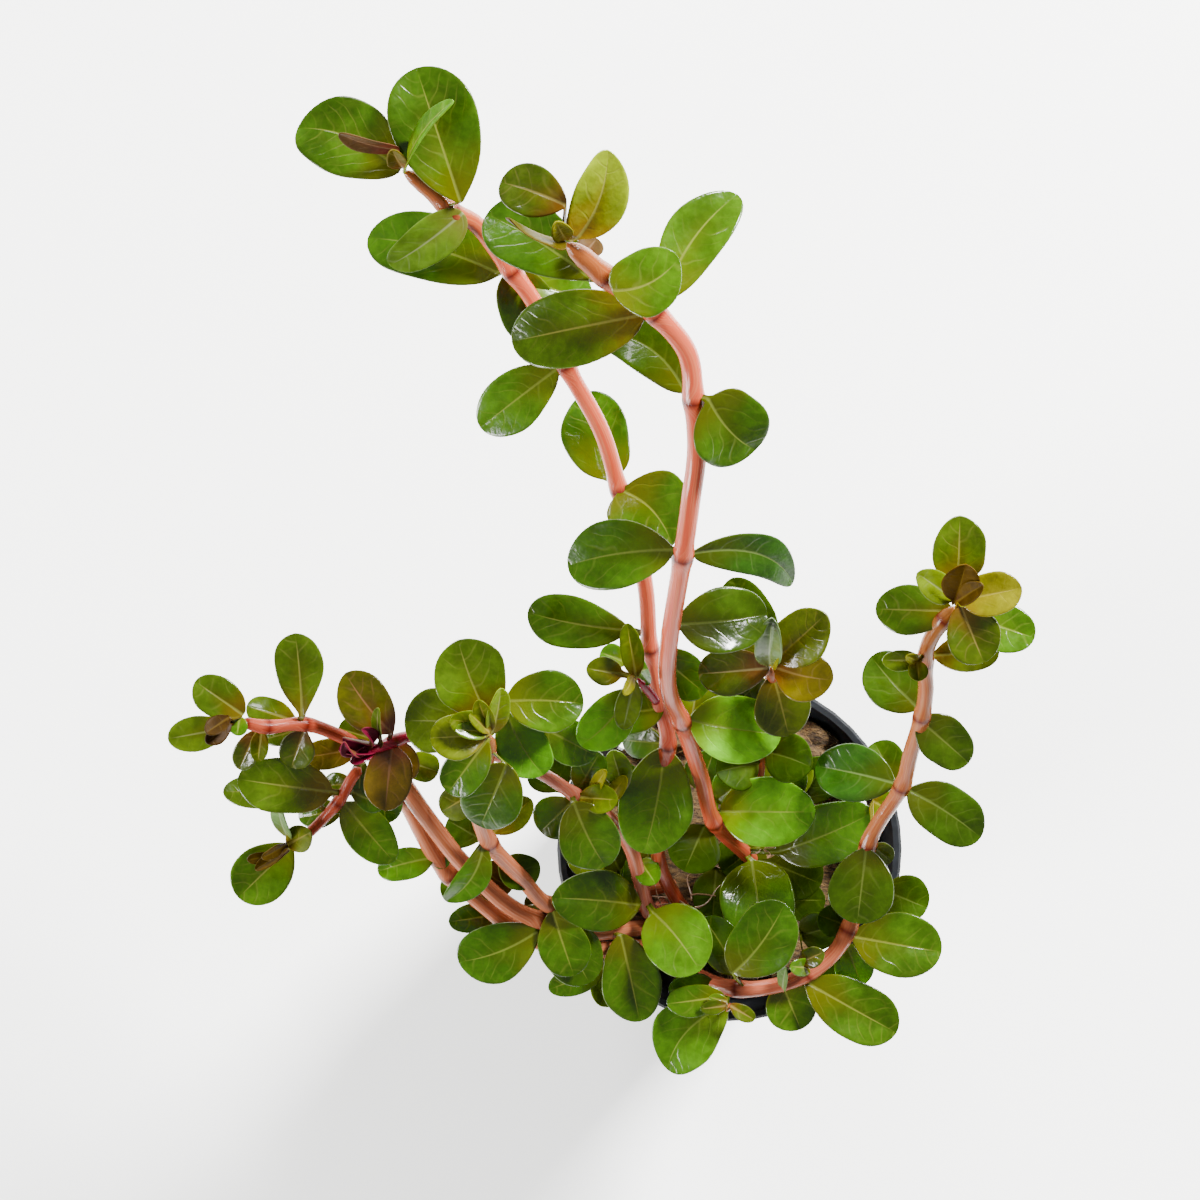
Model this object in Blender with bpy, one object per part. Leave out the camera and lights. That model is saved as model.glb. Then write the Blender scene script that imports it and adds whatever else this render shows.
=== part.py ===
# A potted blood red rotala, as sold for aquariums: a net pot, a plug of mineral wool,
# the rising stems and the larger leaves. Metres, +Z up. The origin is the centre of the
# pot's underside.
import math

import bmesh
import bpy
from mathutils import Vector

MM = 0.001
GAP = 0.3 * MM                      # clearance between neighbouring pieces

# Pot
POT_HEIGHT = 50.0 * MM
RIM_RADIUS = 25.0 * MM              # outside of the rim
MOUTH_RADIUS = 23.6 * MM            # outside of the wall below the rim
FOOT_RADIUS = 18.5 * MM             # outside of the wall at the foot
WALL = 1.2 * MM
RIM_DEPTH = 3.0 * MM
POT_SIDES = 48
SLOT_COUNT = 12
SLOT_WIDTH = 3.0 * MM
SLOT_LOW = 9.0 * MM
SLOT_HIGH = 39.0 * MM

# Mineral wool plug
WOOL_TOP = 42.0 * MM
WOOL_CROWN = 2.0 * MM               # how far the middle stands above the edge
WOOL_SIDES = 24
WOOL_RINGS = 4

# How the places were read: the plant is seen from straight above
RIM_SCALE = 50.0 / 345.0 * MM       # one picture step at the rim's height
RIM_CENTRE = (729.5, 849.0)         # picture place of the pot's axis
VIEW_CENTRE = (600.0, 600.0)        # picture place straight below the eye
EYE_HEIGHT = 500.0 * MM             # eye above the rim

# Stems and leaves
STEM_SIDES = 8
STEM_STEP = 5.0 * MM                # spacing of the rings along a stem
NODE_SWELL = 0.22                   # how much wider a stem is at a node
NODE_REACH = 2.2 * MM               # half the length of that swelling
LEAF_THICK = 0.55 * MM
LEAF_ROWS = 7
LEAF_COLUMNS = 4
LEAF_TIP_ROUND = 0.5                # how round the blade's tip is

COLOURS = {
    "salmon": (0.60, 0.20, 0.12, 1.0),
    "magenta": (0.32, 0.03, 0.06, 1.0),
    "green": (0.07, 0.16, 0.01, 1.0),
    "deep": (0.04, 0.10, 0.01, 1.0),
    "bright": (0.20, 0.33, 0.01, 1.0),
    "olive": (0.16, 0.15, 0.02, 1.0),
    "black": (0.012, 0.013, 0.016, 1.0),
    "wool": (0.10, 0.055, 0.03, 1.0),
}

# Stems: thickness at the foot and at the tip in mm, colour, then the route from foot to
# tip. A route point is picture column, picture row and height above the rim in mm; a
# fourth value of 1 marks a node, where leaves sit and the stem is swollen.
STEMS = {
    "stem_long_left": (2.1, 2.3, "salmon", [
        (697, 925, -7), (676, 898, -1), (659, 860, 6), (656, 800, 14), (668, 745, 21, 1),
        (659, 700, 27), (650, 648, 33, 1), (644, 577, 40), (619, 489, 48, 1),
        (601, 430, 52), (566, 366, 56, 1), (535, 304, 59), (512, 272, 61, 1),
        (478, 226, 64), (452, 212, 66, 1), (428, 188, 67), (402, 170, 69)]),
    "stem_long_right": (2.2, 2.6, "salmon", [
        (760, 868, -7), (745, 853, -1), (714, 822, 8, 1), (702, 780, 17), (696, 762, 21),
        (682, 722, 30, 1), (669, 690, 38), (669, 644, 47), (683, 556, 60, 1),
        (691, 500, 66), (697, 450, 70), (694, 400, 74, 1), (687, 352, 77),
        (655, 313, 80, 1), (632, 296, 82), (605, 276, 84, 1), (584, 258, 86),
        (565, 242, 88)]),
    "stem_crown": (1.9, 1.9, "salmon", [
        (764, 800, -7), (762, 775, 2), (764, 745, 12, 1), (770, 712, 22),
        (772, 690, 29, 1), (771, 667, 35)]),
    "stem_left_main": (2.3, 2.6, "salmon", [
        (680, 920, -7), (655, 926, -4.8), (628, 929, 0.5), (590, 932, 4.5), (541, 921, 8, 1),
        (504, 902, 12), (460, 860, 19), (425, 815, 26), (400, 780, 31), (372, 752, 36, 1)]),
    "stem_left_upper": (1.9, 1.6, "salmon", [
        (359, 746, 37), (338, 735, 39), (305, 724, 42, 1), (268, 727, 44, 1),
        (246, 723, 45, 1), (235, 722, 46)]),
    "stem_left_lower": (1.6, 1.4, "salmon", [
        (361, 767, 35.6), (352, 778, 35), (338, 802, 33, 1), (311, 831, 30),
        (290, 846, 28, 1)]),
    "stem_left_second": (2.4, 2.6, "salmon", [
        (672, 944, -7), (642, 946, -4.4), (600, 950, 2.2), (556, 948, 3.2), (510, 925, 6),
        (475, 897, 10.5), (449, 874, 14.5, 1), (430, 846, 18.5), (404, 795, 25.5, 1),
        (391, 774, 28)]),
    "stem_middle": (2.1, 2.4, "salmon", [
        (676, 884, -7), (640, 890, -2), (600, 896, 3), (551, 905, 9, 1),
        (520, 876, 16), (489, 842, 24, 1), (478, 808, 32), (484, 770, 37.5, 1),
        (491, 734, 47)]),
    "stem_magenta": (2.3, 1.5, "magenta", [
        (664, 903, -7), (650, 912, 0.5, 1), (640, 880, 5), (629, 845, 11),
        (606, 815, 17), (577, 796, 22, 1), (531, 768, 28), (470, 748, 34),
        (418, 737, 39), (394, 741, 41, 1), (367, 754, 43)]),
    "stem_right": (2.3, 2.1, "salmon", [
        (682, 958, -7), (700, 977, -1), (738, 989, 4, 1), (778, 985, 5), (808, 973, 6, 1),
        (832, 955, 7), (848, 930, 8, 1), (858, 895, 9), (868, 845, 12, 1),
        (880, 820, 15), (902, 786, 20, 1), (911, 752, 26), (922, 716, 32, 1),
        (926, 690, 36), (925, 662, 40, 1), (930, 640, 44), (945, 618, 47, 1),
        (955, 606, 49)]),
    "shoot_magenta": (1.3, 1.2, "magenta", [
        (658, 704, 33.6), (650, 693, 36), (637, 678, 40)]),
    "shoot_low": (1.6, 1.2, "salmon", [
        (511, 926, 2), (492, 916, 3), (476, 905, 5), (468, 893, 8)]),
    "shoot_front": (1.2, 1.1, "salmon", [
        (734, 1003, 4.3), (730, 1006, 5), (726, 1012, 7)]),
}

# Leaves by stem: foot and tip as route points, width in mm, roll in degrees, arch, cup,
# sweep, place of the widest point and colour. A positive roll lifts the right edge, seen
# from foot to tip; arch lifts the middle of the blade and cup lifts both its edges, as
# parts of its length and half width; sweep bows it to the right.
LEAVES = {
    "long_left": [
        ((399, 171, 70), (297, 128, 66), 10.2, 0, 0.05, 0.08, 0.10, 0.55, "green"),
        ((461, 203, 69), (416, 67, 71), 11.6, 0, 0.05, 0.10, 0.0, 0.62, "green"),
        ((497, 273, 60), (367, 238, 55), 9.0, 0, 0.05, 0.08, 0.05, 0.52, "green"),
        ((510, 270, 59), (544, 342, 53), 8.0, 0, 0.05, 0.06, 0.0, 0.50, "green"),
        ((558, 368, 55), (480, 428, 50), 7.6, 0, 0.06, 0.06, 0.0, 0.56, "green"),
        ((611, 479, 44), (588, 391, 42), 9.0, 0, 0.05, 0.06, -0.04, 0.48, "green"),
        ((621, 490, 49), (672, 545, 52), 11.4, 0, 0.02, 0.22, -0.12, 0.50, "bright"),
        ((630, 630, 33), (527, 612, 31), 7.4, 0, 0.05, 0.06, -0.03, 0.60, "deep"),
        ((665, 748, 20), (644, 854, 15), 10.4, 0, 0.07, 0.06, -0.02, 0.52, "deep"),
    ],
    "long_right": [
        ((591, 279, 82), (486, 214, 76), 8.8, 0, 0.05, 0.10, 0.03, 0.62, "deep"),
        ((611, 290, 86), (679, 258, 88), 8.2, 0, 0.05, 0.08, 0.14, 0.48, "bright"),
        ((664, 299, 79), (738, 194, 76), 7.4, 0, 0.04, 0.10, -0.08, 0.55, "bright"),
        ((643, 315, 79), (511, 342, 73), 9.6, 0, 0.06, 0.08, 0.0, 0.50, "olive"),
        ((684, 390, 72), (598, 333, 66), 6.8, 0, 0.05, 0.08, 0.14, 0.52, "deep"),
        ((709, 399, 76), (756, 450, 70), 10.4, 0, 0.06, 0.06, 0.08, 0.46, "deep"),
        ((673, 550, 61), (567, 566, 56), 9.0, 0, 0.06, 0.08, 0.04, 0.54, "deep"),
        ((679, 624, 49), (768, 614, 45), 8.9, 0, 0.05, 0.06, 0.02, 0.50, "deep"),
        ((690, 720, 30), (782, 734, 26), 9.6, 0, 0.06, 0.06, 0.02, 0.50, "bright"),
        ((720, 811, 8), (816, 812, 12), 10.2, 0, 0.06, 0.05, 0.0, 0.52, "bright"),
        ((752, 861, 1), (764, 946, 5), 11.0, 0, 0.07, 0.08, 0.0, 0.48, "bright"),
        ((777, 852, 2), (874, 812, 8), 9.0, 0, 0.05, 0.05, 0.02, 0.52, "deep"),
    ],
    "crown": [
        ((773, 674, 33), (789, 736, 30), 7.8, 0, 0.05, 0.08, 0.0, 0.56, "olive"),
    ],
    "left_upper": [
        ((302, 717, 44), (295, 633, 46), 6.6, 0, 0.05, 0.10, 0.02, 0.66, "olive"),
    ],
    "left_lower": [
        ((332, 792, 35), (237, 779, 37), 7.8, 0, 0.06, 0.06, 0.0, 0.52, "deep"),
        ((292, 845, 25), (238, 898, 25), 8.0, 0, 0.05, 0.08, 0.0, 0.58, "green"),
    ],
    "magenta": [
        ((574, 803, 24.5), (606, 867, 19), 8.4, 0, 0.05, 0.06, 0.03, 0.50, "deep"),
        ((640, 905, 4), (552, 898, 12), 8.8, 0, 0.06, 0.05, 0.02, 0.52, "green"),
        ((653, 912, 5), (700, 971, 9), 10.3, 0, 0.05, 0.06, -0.04, 0.50, "bright"),
    ],
    "middle": [
        ((489, 718, 48), (458, 640, 51), 9.8, 0, 0.05, 0.10, -0.03, 0.58, "green"),
        ((478, 724, 45), (404, 721, 44), 8.8, 0, 0.05, 0.10, 0.02, 0.56, "deep"),
        ((506, 701, 45), (584, 704, 43), 8.4, 0, 0.06, 0.06, -0.03, 0.52, "olive"),
        ((507, 764, 43.5), (480, 827, 37), 8.2, 0, 0.06, 0.06, 0.0, 0.50, "green"),
        ((506, 712, 41), (544, 775, 38), 7.2, 0, 0.05, 0.06, 0.05, 0.52, "green"),
        ((552, 911, 10), (574, 976, 8), 7.4, 0, 0.05, 0.08, 0.0, 0.56, "green"),
    ],
    "left_main": [
        ((538, 931, 9), (458, 962, 8), 8.6, 0, 0.05, 0.06, -0.06, 0.56, "green"),
        ((621, 934, 4.5), (640, 1022, 2), 8.6, 0, 0.08, 0.05, 0.0, 0.55, "deep"),
    ],
    "right": [
        ((732, 974, 8), (785, 903, 12), 9.6, 0, 0.05, 0.12, 0.05, 0.56, "green"),
        ((726, 1006, 3), (667, 1070, 1), 9.6, 0, 0.06, 0.06, 0.14, 0.56, "green"),
        ((806, 982, 5), (897, 1033, 3), 8.8, 0, 0.05, 0.06, 0.0, 0.56, "green"),
        ((852, 936, 7), (942, 952, 5), 9.4, 0, 0.05, 0.08, 0.0, 0.55, "green"),
        ((866, 848, 13), (857, 924, 12), 9.4, 0, 0.05, 0.08, 0.0, 0.55, "green"),
        ((894, 783, 18), (815, 766, 14), 8.2, 0, 0.06, 0.06, 0.02, 0.52, "deep"),
        ((909, 790, 19), (981, 838, 16), 8.0, 0, 0.05, 0.06, -0.03, 0.52, "green"),
        ((919, 708, 31), (871, 656, 29), 7.8, 0, 0.05, 0.06, -0.03, 0.50, "bright"),
        ((975, 618, 45), (1035, 638, 45), 6.6, 0, 0.04, 0.06, 0.0, 0.52, "bright"),
    ],
}


def clear_scene():
    for found in list(bpy.data.objects):
        bpy.data.objects.remove(found, do_unlink=True)


def finish_material(name, colour, roughness):
    material = bpy.data.materials.new(name)
    material.use_nodes = True
    shader = material.node_tree.nodes["Principled BSDF"]
    shader.inputs["Base Color"].default_value = colour
    shader.inputs["Roughness"].default_value = roughness
    shader.inputs["Metallic"].default_value = 0.0
    return material


def add_object(name, mesh, material):
    made = bpy.data.objects.new(name, mesh)
    bpy.context.scene.collection.objects.link(made)
    mesh.materials.append(material)
    return made


def mesh_from_bmesh(name, shape, smooth_angle=None):
    bmesh.ops.recalc_face_normals(shape, faces=shape.faces)
    mesh = bpy.data.meshes.new(name)
    shape.to_mesh(mesh)
    shape.free()
    if smooth_angle is not None:
        mesh.shade_smooth()
        mesh.set_sharp_from_angle(angle=smooth_angle)
    return mesh


def place(point):
    """The place in the plant's frame of a route point."""
    column, row, height = point[:3]
    level = height * MM
    scale = RIM_SCALE * (EYE_HEIGHT - level) / EYE_HEIGHT
    eye_x = (VIEW_CENTRE[0] - RIM_CENTRE[0]) * RIM_SCALE
    eye_y = (RIM_CENTRE[1] - VIEW_CENTRE[1]) * RIM_SCALE
    x = eye_x + (column - VIEW_CENTRE[0]) * scale
    y = eye_y - (row - VIEW_CENTRE[1]) * scale
    return Vector((x, y, POT_HEIGHT + level))


def turned(profile, sides, name):
    """A closed solid turned from a profile of (radius, height) points around Z."""
    shape = bmesh.new()
    rings = []
    for radius, height in profile:
        if radius == 0.0:
            rings.append([shape.verts.new((0.0, 0.0, height))])
            continue
        angles = [2.0 * math.pi * step / sides for step in range(sides)]
        rings.append([shape.verts.new((radius * math.cos(a), radius * math.sin(a), height))
                      for a in angles])
    for lower, upper in zip(rings, rings[1:]):
        for step in range(sides):
            after = (step + 1) % sides
            corners = [lower[step % len(lower)], lower[after % len(lower)],
                       upper[after % len(upper)], upper[step % len(upper)]]
            unique = list(dict.fromkeys(corners))
            shape.faces.new(unique)
    return mesh_from_bmesh(name, shape, math.radians(40.0))


def make_pot(material):
    """The net pot: a tapered cup with a rolled rim and upright slots in its wall."""
    rim_low = POT_HEIGHT - RIM_DEPTH
    profile = [
        (0.0, 0.0),
        (FOOT_RADIUS - 0.8 * MM, 0.0),
        (FOOT_RADIUS, 0.8 * MM),
        (MOUTH_RADIUS, rim_low),
        (RIM_RADIUS, rim_low),
        (RIM_RADIUS, POT_HEIGHT - 0.4 * MM),
        (RIM_RADIUS - 0.4 * MM, POT_HEIGHT),
        (RIM_RADIUS - WALL, POT_HEIGHT),
        (MOUTH_RADIUS - WALL, rim_low - 0.6 * MM),
        (FOOT_RADIUS - WALL, WALL),
        (0.0, WALL),
    ]
    pot = add_object("pot", turned(profile, POT_SIDES, "pot"), material)
    cutter = slot_cutter()
    cut = pot.modifiers.new("slots", "BOOLEAN")
    cut.object = cutter
    cut.operation = "DIFFERENCE"
    return pot


def slot_cutter():
    """Upright bars set round the pot, one for each slot."""
    shape = bmesh.new()
    depth = 6.0 * MM
    middle = (SLOT_LOW + SLOT_HIGH) / 2.0
    taper = (MOUTH_RADIUS - FOOT_RADIUS) / (POT_HEIGHT - RIM_DEPTH)
    radius = FOOT_RADIUS + taper * middle
    for slot in range(SLOT_COUNT):
        angle = 2.0 * math.pi * (slot + 0.5) / SLOT_COUNT
        made = bmesh.ops.create_cube(shape, size=1.0)
        for vert in made["verts"]:
            across = vert.co.y * SLOT_WIDTH
            up = vert.co.z * (SLOT_HIGH - SLOT_LOW)
            out = radius + vert.co.x * depth + up * taper
            vert.co = (out * math.cos(angle) - across * math.sin(angle),
                       out * math.sin(angle) + across * math.cos(angle),
                       middle + up)
    cutter = bpy.data.objects.new("slot_cutter", mesh_from_bmesh("slot_cutter", shape))
    bpy.context.scene.collection.objects.link(cutter)
    cutter.hide_render = True
    cutter.display_type = "WIRE"
    return cutter


def make_wool(material):
    """The plug of mineral wool: it fills the pot and is crowned in the middle."""
    taper = (MOUTH_RADIUS - FOOT_RADIUS) / (POT_HEIGHT - RIM_DEPTH)
    inner_foot = FOOT_RADIUS - WALL - 2.0 * GAP
    foot = WALL + GAP
    edge = WOOL_TOP - WOOL_CROWN
    profile = [(0.0, foot), (inner_foot, foot), (inner_foot + taper * (edge - foot), edge)]
    top_radius = profile[-1][0]
    for ring in range(1, WOOL_RINGS):
        part = ring / WOOL_RINGS
        radius = top_radius * math.cos(part * math.pi / 2.0)
        profile.append((radius, edge + WOOL_CROWN * math.sin(part * math.pi / 2.0)))
    profile.append((0.0, WOOL_TOP))
    return add_object("wool_plug", turned(profile, WOOL_SIDES, "wool_plug"), material)


def smooth_route(points):
    """Places read along a smooth curve through the route's points, STEM_STEP apart."""
    knots = [place(point) for point in points]
    padded = [knots[0] * 2.0 - knots[1]] + knots + [knots[-1] * 2.0 - knots[-2]]
    route = [knots[0]]
    for index in range(1, len(padded) - 2):
        before, start, end, after = padded[index - 1:index + 3]
        steps = max(1, round((end - start).length / STEM_STEP))
        for step in range(1, steps + 1):
            part = step / steps
            pull_in = (end - before) * 0.5
            pull_out = (after - start) * 0.5
            square = part * part
            cube = square * part
            route.append(start * (2 * cube - 3 * square + 1) + pull_in * (cube - 2 * square + part)
                         + end * (3 * square - 2 * cube) + pull_out * (cube - square))
    return route


def stem_radius(part, place_on_stem, thick_foot, thick_tip, nodes):
    """Half the stem's thickness, swollen near its nodes."""
    half = 0.5 * MM * (thick_foot + (thick_tip - thick_foot) * part)
    nearest = min([(place_on_stem - node).length for node in nodes], default=1.0)
    if nearest < NODE_REACH:
        half *= 1.0 + NODE_SWELL * (1.0 - nearest / NODE_REACH)
    return half


def make_stem(name, stem, material):
    """A round stem along its route, closed at both ends."""
    thick_foot, thick_tip, _, points = stem
    route = smooth_route(points)
    nodes = [place(point) for point in points if len(point) == 4]
    shape = bmesh.new()
    rings = []
    across = Vector((0.0, 0.0, 1.0))
    for index, centre in enumerate(route):
        ahead = route[min(index + 1, len(route) - 1)] - route[max(index - 1, 0)]
        ahead.normalize()
        across = (across - ahead * across.dot(ahead)).normalized()
        beside = ahead.cross(across)
        half = stem_radius(index / (len(route) - 1), centre, thick_foot, thick_tip, nodes)
        ring = []
        for side in range(STEM_SIDES):
            angle = 2.0 * math.pi * side / STEM_SIDES
            offset = across * math.cos(angle) + beside * math.sin(angle)
            ring.append(shape.verts.new(centre + offset * half))
        rings.append(ring)
    for first, second in zip(rings, rings[1:]):
        for side in range(STEM_SIDES):
            after = (side + 1) % STEM_SIDES
            shape.faces.new((first[side], first[after], second[after], second[side]))
    shape.faces.new(rings[0])
    shape.faces.new(rings[-1])
    return add_object(name, mesh_from_bmesh(name, shape, math.radians(50.0)), material)


def clear_foot(foot, tip, stem):
    """The leaf's foot, moved along the leaf until it is clear of its stem."""
    thick = max(stem[0], stem[1]) * MM
    keep = 0.5 * thick * (1.0 + NODE_SWELL) + 2.0 * GAP
    route = smooth_route(stem[3])
    along = (tip - foot).normalized()
    moved = foot.copy()
    for _ in range(60):
        nearest = min((moved - centre).length for centre in dense(route))
        if nearest >= keep:
            break
        moved += along * 0.1 * MM
    return moved


def dense(route):
    """The route's places with three more between each pair."""
    places = []
    for first, second in zip(route, route[1:]):
        places += [first.lerp(second, quarter / 4.0) for quarter in range(4)]
    return places + [route[-1]]


def leaf_solid(name, foot, tip, leaf, material):
    """A leaf blade: a curved lens, thin at its edge, from foot to tip."""
    _, _, width, roll, arch, cup, sweep, widest, _ = leaf
    length = (tip - foot).length
    along = (tip - foot).normalized()
    level_side = along.cross(Vector((0.0, 0.0, 1.0))).normalized()
    level_up = level_side.cross(along)
    turn = math.radians(roll)
    side = level_side * math.cos(turn) + level_up * math.sin(turn)
    up = level_up * math.cos(turn) - level_side * math.sin(turn)
    foot_power = LEAF_TIP_ROUND * widest / (1.0 - widest)
    shape = bmesh.new()
    upper = []
    lower = []
    for row in range(LEAF_ROWS + 1):
        part = (1.0 - math.cos(math.pi * row / LEAF_ROWS)) / 2.0
        bow = 4.0 * part * (1.0 - part) * length
        middle = foot + along * (part * length) + side * (bow * sweep) + up * (bow * arch)
        if row in (0, LEAF_ROWS):
            end = shape.verts.new(middle)
            upper.append([end] * (LEAF_COLUMNS + 1))
            lower.append([end] * (LEAF_COLUMNS + 1))
            continue
        half = 0.5 * width * MM * (part / widest) ** foot_power
        half *= ((1.0 - part) / (1.0 - widest)) ** LEAF_TIP_ROUND
        top_row = []
        low_row = []
        for column in range(LEAF_COLUMNS + 1):
            across = 2.0 * column / LEAF_COLUMNS - 1.0
            centre = middle + side * (half * across) + up * (cup * half * abs(across) ** 1.5)
            if column in (0, LEAF_COLUMNS):
                rim = shape.verts.new(centre)
                top_row.append(rim)
                low_row.append(rim)
                continue
            top_row.append(shape.verts.new(centre + up * (0.5 * LEAF_THICK)))
            low_row.append(shape.verts.new(centre - up * (0.5 * LEAF_THICK)))
        upper.append(top_row)
        lower.append(low_row)
    for sheet, flip in ((upper, False), (lower, True)):
        for near, far in zip(sheet, sheet[1:]):
            for column in range(LEAF_COLUMNS):
                corners = [near[column], near[column + 1], far[column + 1], far[column]]
                unique = list(dict.fromkeys(corners))
                if flip:
                    unique.reverse()
                shape.faces.new(unique)
    return add_object(name, mesh_from_bmesh(name, shape, math.radians(60.0)), material)


def make_leaves(materials):
    for stem_name, leaves in LEAVES.items():
        stem = STEMS["stem_" + stem_name]
        for number, leaf in enumerate(leaves, start=1):
            tip = place(leaf[1])
            foot = clear_foot(place(leaf[0]), tip, stem)
            name = "leaf_" + stem_name + "_" + str(number)
            leaf_solid(name, foot, tip, leaf, materials[leaf[-1]])


def main():
    clear_scene()
    materials = {}
    for name, colour in COLOURS.items():
        roughness = 0.9 if name == "wool" else 0.35
        materials[name] = finish_material(name, colour, roughness)
    make_pot(materials["black"])
    make_wool(materials["wool"])
    for name, stem in STEMS.items():
        make_stem(name, stem, materials[stem[2]])
    make_leaves(materials)


main()
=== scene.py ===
import math
import random

import bpy
import numpy as np
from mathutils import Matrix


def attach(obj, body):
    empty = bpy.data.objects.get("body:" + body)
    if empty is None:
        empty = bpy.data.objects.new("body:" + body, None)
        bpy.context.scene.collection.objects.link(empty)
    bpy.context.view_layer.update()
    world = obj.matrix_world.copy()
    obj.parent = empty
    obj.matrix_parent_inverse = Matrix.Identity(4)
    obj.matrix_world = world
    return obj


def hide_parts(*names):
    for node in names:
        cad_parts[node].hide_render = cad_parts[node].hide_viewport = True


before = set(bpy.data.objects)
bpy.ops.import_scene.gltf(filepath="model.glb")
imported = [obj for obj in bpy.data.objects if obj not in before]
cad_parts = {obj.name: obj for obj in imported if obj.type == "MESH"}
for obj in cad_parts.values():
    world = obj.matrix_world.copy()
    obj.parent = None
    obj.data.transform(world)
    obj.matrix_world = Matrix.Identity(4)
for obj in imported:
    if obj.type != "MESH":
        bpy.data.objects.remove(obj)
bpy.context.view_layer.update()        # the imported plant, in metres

bpy.ops.object.select_all(action="DESELECT")
print("frame loaded:", len(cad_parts), "nodes")

# places are picture column, picture row and height above the pot's rim in mm; the 50 mm rim spans 345 steps
view = {"frame": 1200, "centre": 600.0, "mmPerStep": 50.0 / 345.0, "rimHeight": 50.0,
        "eyeX": -18.768, "eyeY": 36.087, "eyeHeight": 500.0, "sensor": 36.0}
mm = 0.001      # metres
mergeGap = 0.000004     # metres


def place(point):
    scale = view["mmPerStep"] * (view["eyeHeight"] - point[2]) / view["eyeHeight"]
    return np.array([view["eyeX"] + (point[0] - view["centre"]) * scale,
                     view["eyeY"] - (point[1] - view["centre"]) * scale,
                     view["rimHeight"] + point[2]])


paintLevel = {"light": 0.280, "lessBlue": 0.14, "leastBlue": 0.0004}


def hexColour(text):
    parts = [int(text[i:i + 2], 16) / 255.0 for i in (0, 2, 4)]
    return tuple(p / 12.92 if p < 0.04045 else ((p + 0.055) / 1.055) ** 2.4 for p in parts) + (1.0,)


def paint(text, brightness=1.0, lessBlue=None):     # surface colour for one as seen in the picture
    red, green, blue = hexColour(text)[:3]
    lessBlue = paintLevel["lessBlue"] if lessBlue is None else lessBlue
    blue = max(blue - green * lessBlue, paintLevel["leastBlue"])
    return tuple(c * paintLevel["light"] * brightness for c in (red, green, blue)) + (1.0,)


# node helpers
def addNode(tree, kind, **values):
    node = tree.nodes.new(kind)
    for key, value in values.items():
        setattr(node, key, value)
    return node


def feed(tree, socket, value):
    if isinstance(value, bpy.types.NodeSocket):
        tree.links.new(value, socket)
    else:
        socket.default_value = value


def calc(tree, operation, first, second=0.0):
    node = addNode(tree, "ShaderNodeMath", operation=operation)
    feed(tree, node.inputs[0], first)
    feed(tree, node.inputs[1], second)
    return node.outputs[0]


def times(tree, first, second):
    return calc(tree, "MULTIPLY", first, second)


def ease(tree, value, start, end, low=0.0, high=1.0):
    node = addNode(tree, "ShaderNodeMapRange", interpolation_type="SMOOTHSTEP")
    for name, given in (("Value", value), ("From Min", start), ("From Max", end),
                        ("To Min", low), ("To Max", high)):
        feed(tree, node.inputs[name], given)
    return node.outputs["Result"]


def blendColour(tree, amount, first, second, mode="MIX"):
    node = addNode(tree, "ShaderNodeMix", data_type="RGBA", blend_type=mode)
    feed(tree, node.inputs[0], amount)
    feed(tree, node.inputs[6], first)
    feed(tree, node.inputs[7], second)
    return node.outputs[2]


def stretch(tree, vector, factors):
    node = addNode(tree, "ShaderNodeMapping")
    tree.links.new(vector, node.inputs["Vector"])
    node.inputs["Scale"].default_value = factors
    return node.outputs["Vector"]


def objectSpot(tree):
    return addNode(tree, "ShaderNodeTexCoord").outputs["Object"]


def uvLayer(tree, name):
    return addNode(tree, "ShaderNodeUVMap", uv_map=name).outputs[0]


def separate(tree, vector):
    node = addNode(tree, "ShaderNodeSeparateXYZ")
    tree.links.new(vector, node.inputs[0])
    return node.outputs


def newMaterial(name, rough, coat=0.0, coatRough=0.1, shine=0.5):
    material = bpy.data.materials.new(name)
    material.use_nodes = True
    shader = material.node_tree.nodes["Principled BSDF"]
    shader.inputs["Roughness"].default_value = rough
    shader.inputs["Coat Weight"].default_value = coat
    shader.inputs["Coat Roughness"].default_value = coatRough
    shader.inputs["Specular IOR Level"].default_value = shine
    return material, material.node_tree, shader


def plainMaterial(name, colour, rough, coat=0.0):
    material, _, shader = newMaterial(name, rough, coat)
    shader.inputs["Base Color"].default_value = colour
    return material


def addBump(tree, shader, height, strength, distance):
    bump = addNode(tree, "ShaderNodeBump")
    bump.inputs["Strength"].default_value = strength
    bump.inputs["Distance"].default_value = distance
    tree.links.new(height, bump.inputs["Height"])
    tree.links.new(bump.outputs["Normal"], shader.inputs["Normal"])


# effects that several materials share
def newGroup(name, inputs, outputs):
    group = bpy.data.node_groups.new(name, "ShaderNodeTree")
    for socket in inputs:
        kind = "NodeSocketVector" if socket == "Vector" else "NodeSocketFloat"
        group.interface.new_socket(socket, in_out="INPUT", socket_type=kind)
    for socket in outputs:
        group.interface.new_socket(socket, in_out="OUTPUT", socket_type="NodeSocketFloat")
    return group, addNode(group, "NodeGroupInput").outputs, addNode(group, "NodeGroupOutput").inputs


def buildGrain():
    names = ("Vector", "Scale", "Detail", "Roughness")
    group, given, result = newGroup("surfaceGrain", names, ("Grain",))
    noise = addNode(group, "ShaderNodeTexNoise")
    for name in names:
        group.links.new(given[name], noise.inputs[name])
    group.links.new(noise.outputs["Fac"], result["Grain"])
    return group


grainGroup = buildGrain()


def grain(tree, vector, scale, detail=3.0, rough=0.55):
    node = addNode(tree, "ShaderNodeGroup")
    node.node_tree = grainGroup
    for name, value in (("Vector", vector), ("Scale", scale), ("Detail", detail), ("Roughness", rough)):
        feed(tree, node.inputs[name], value)
    return node.outputs["Grain"]


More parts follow.
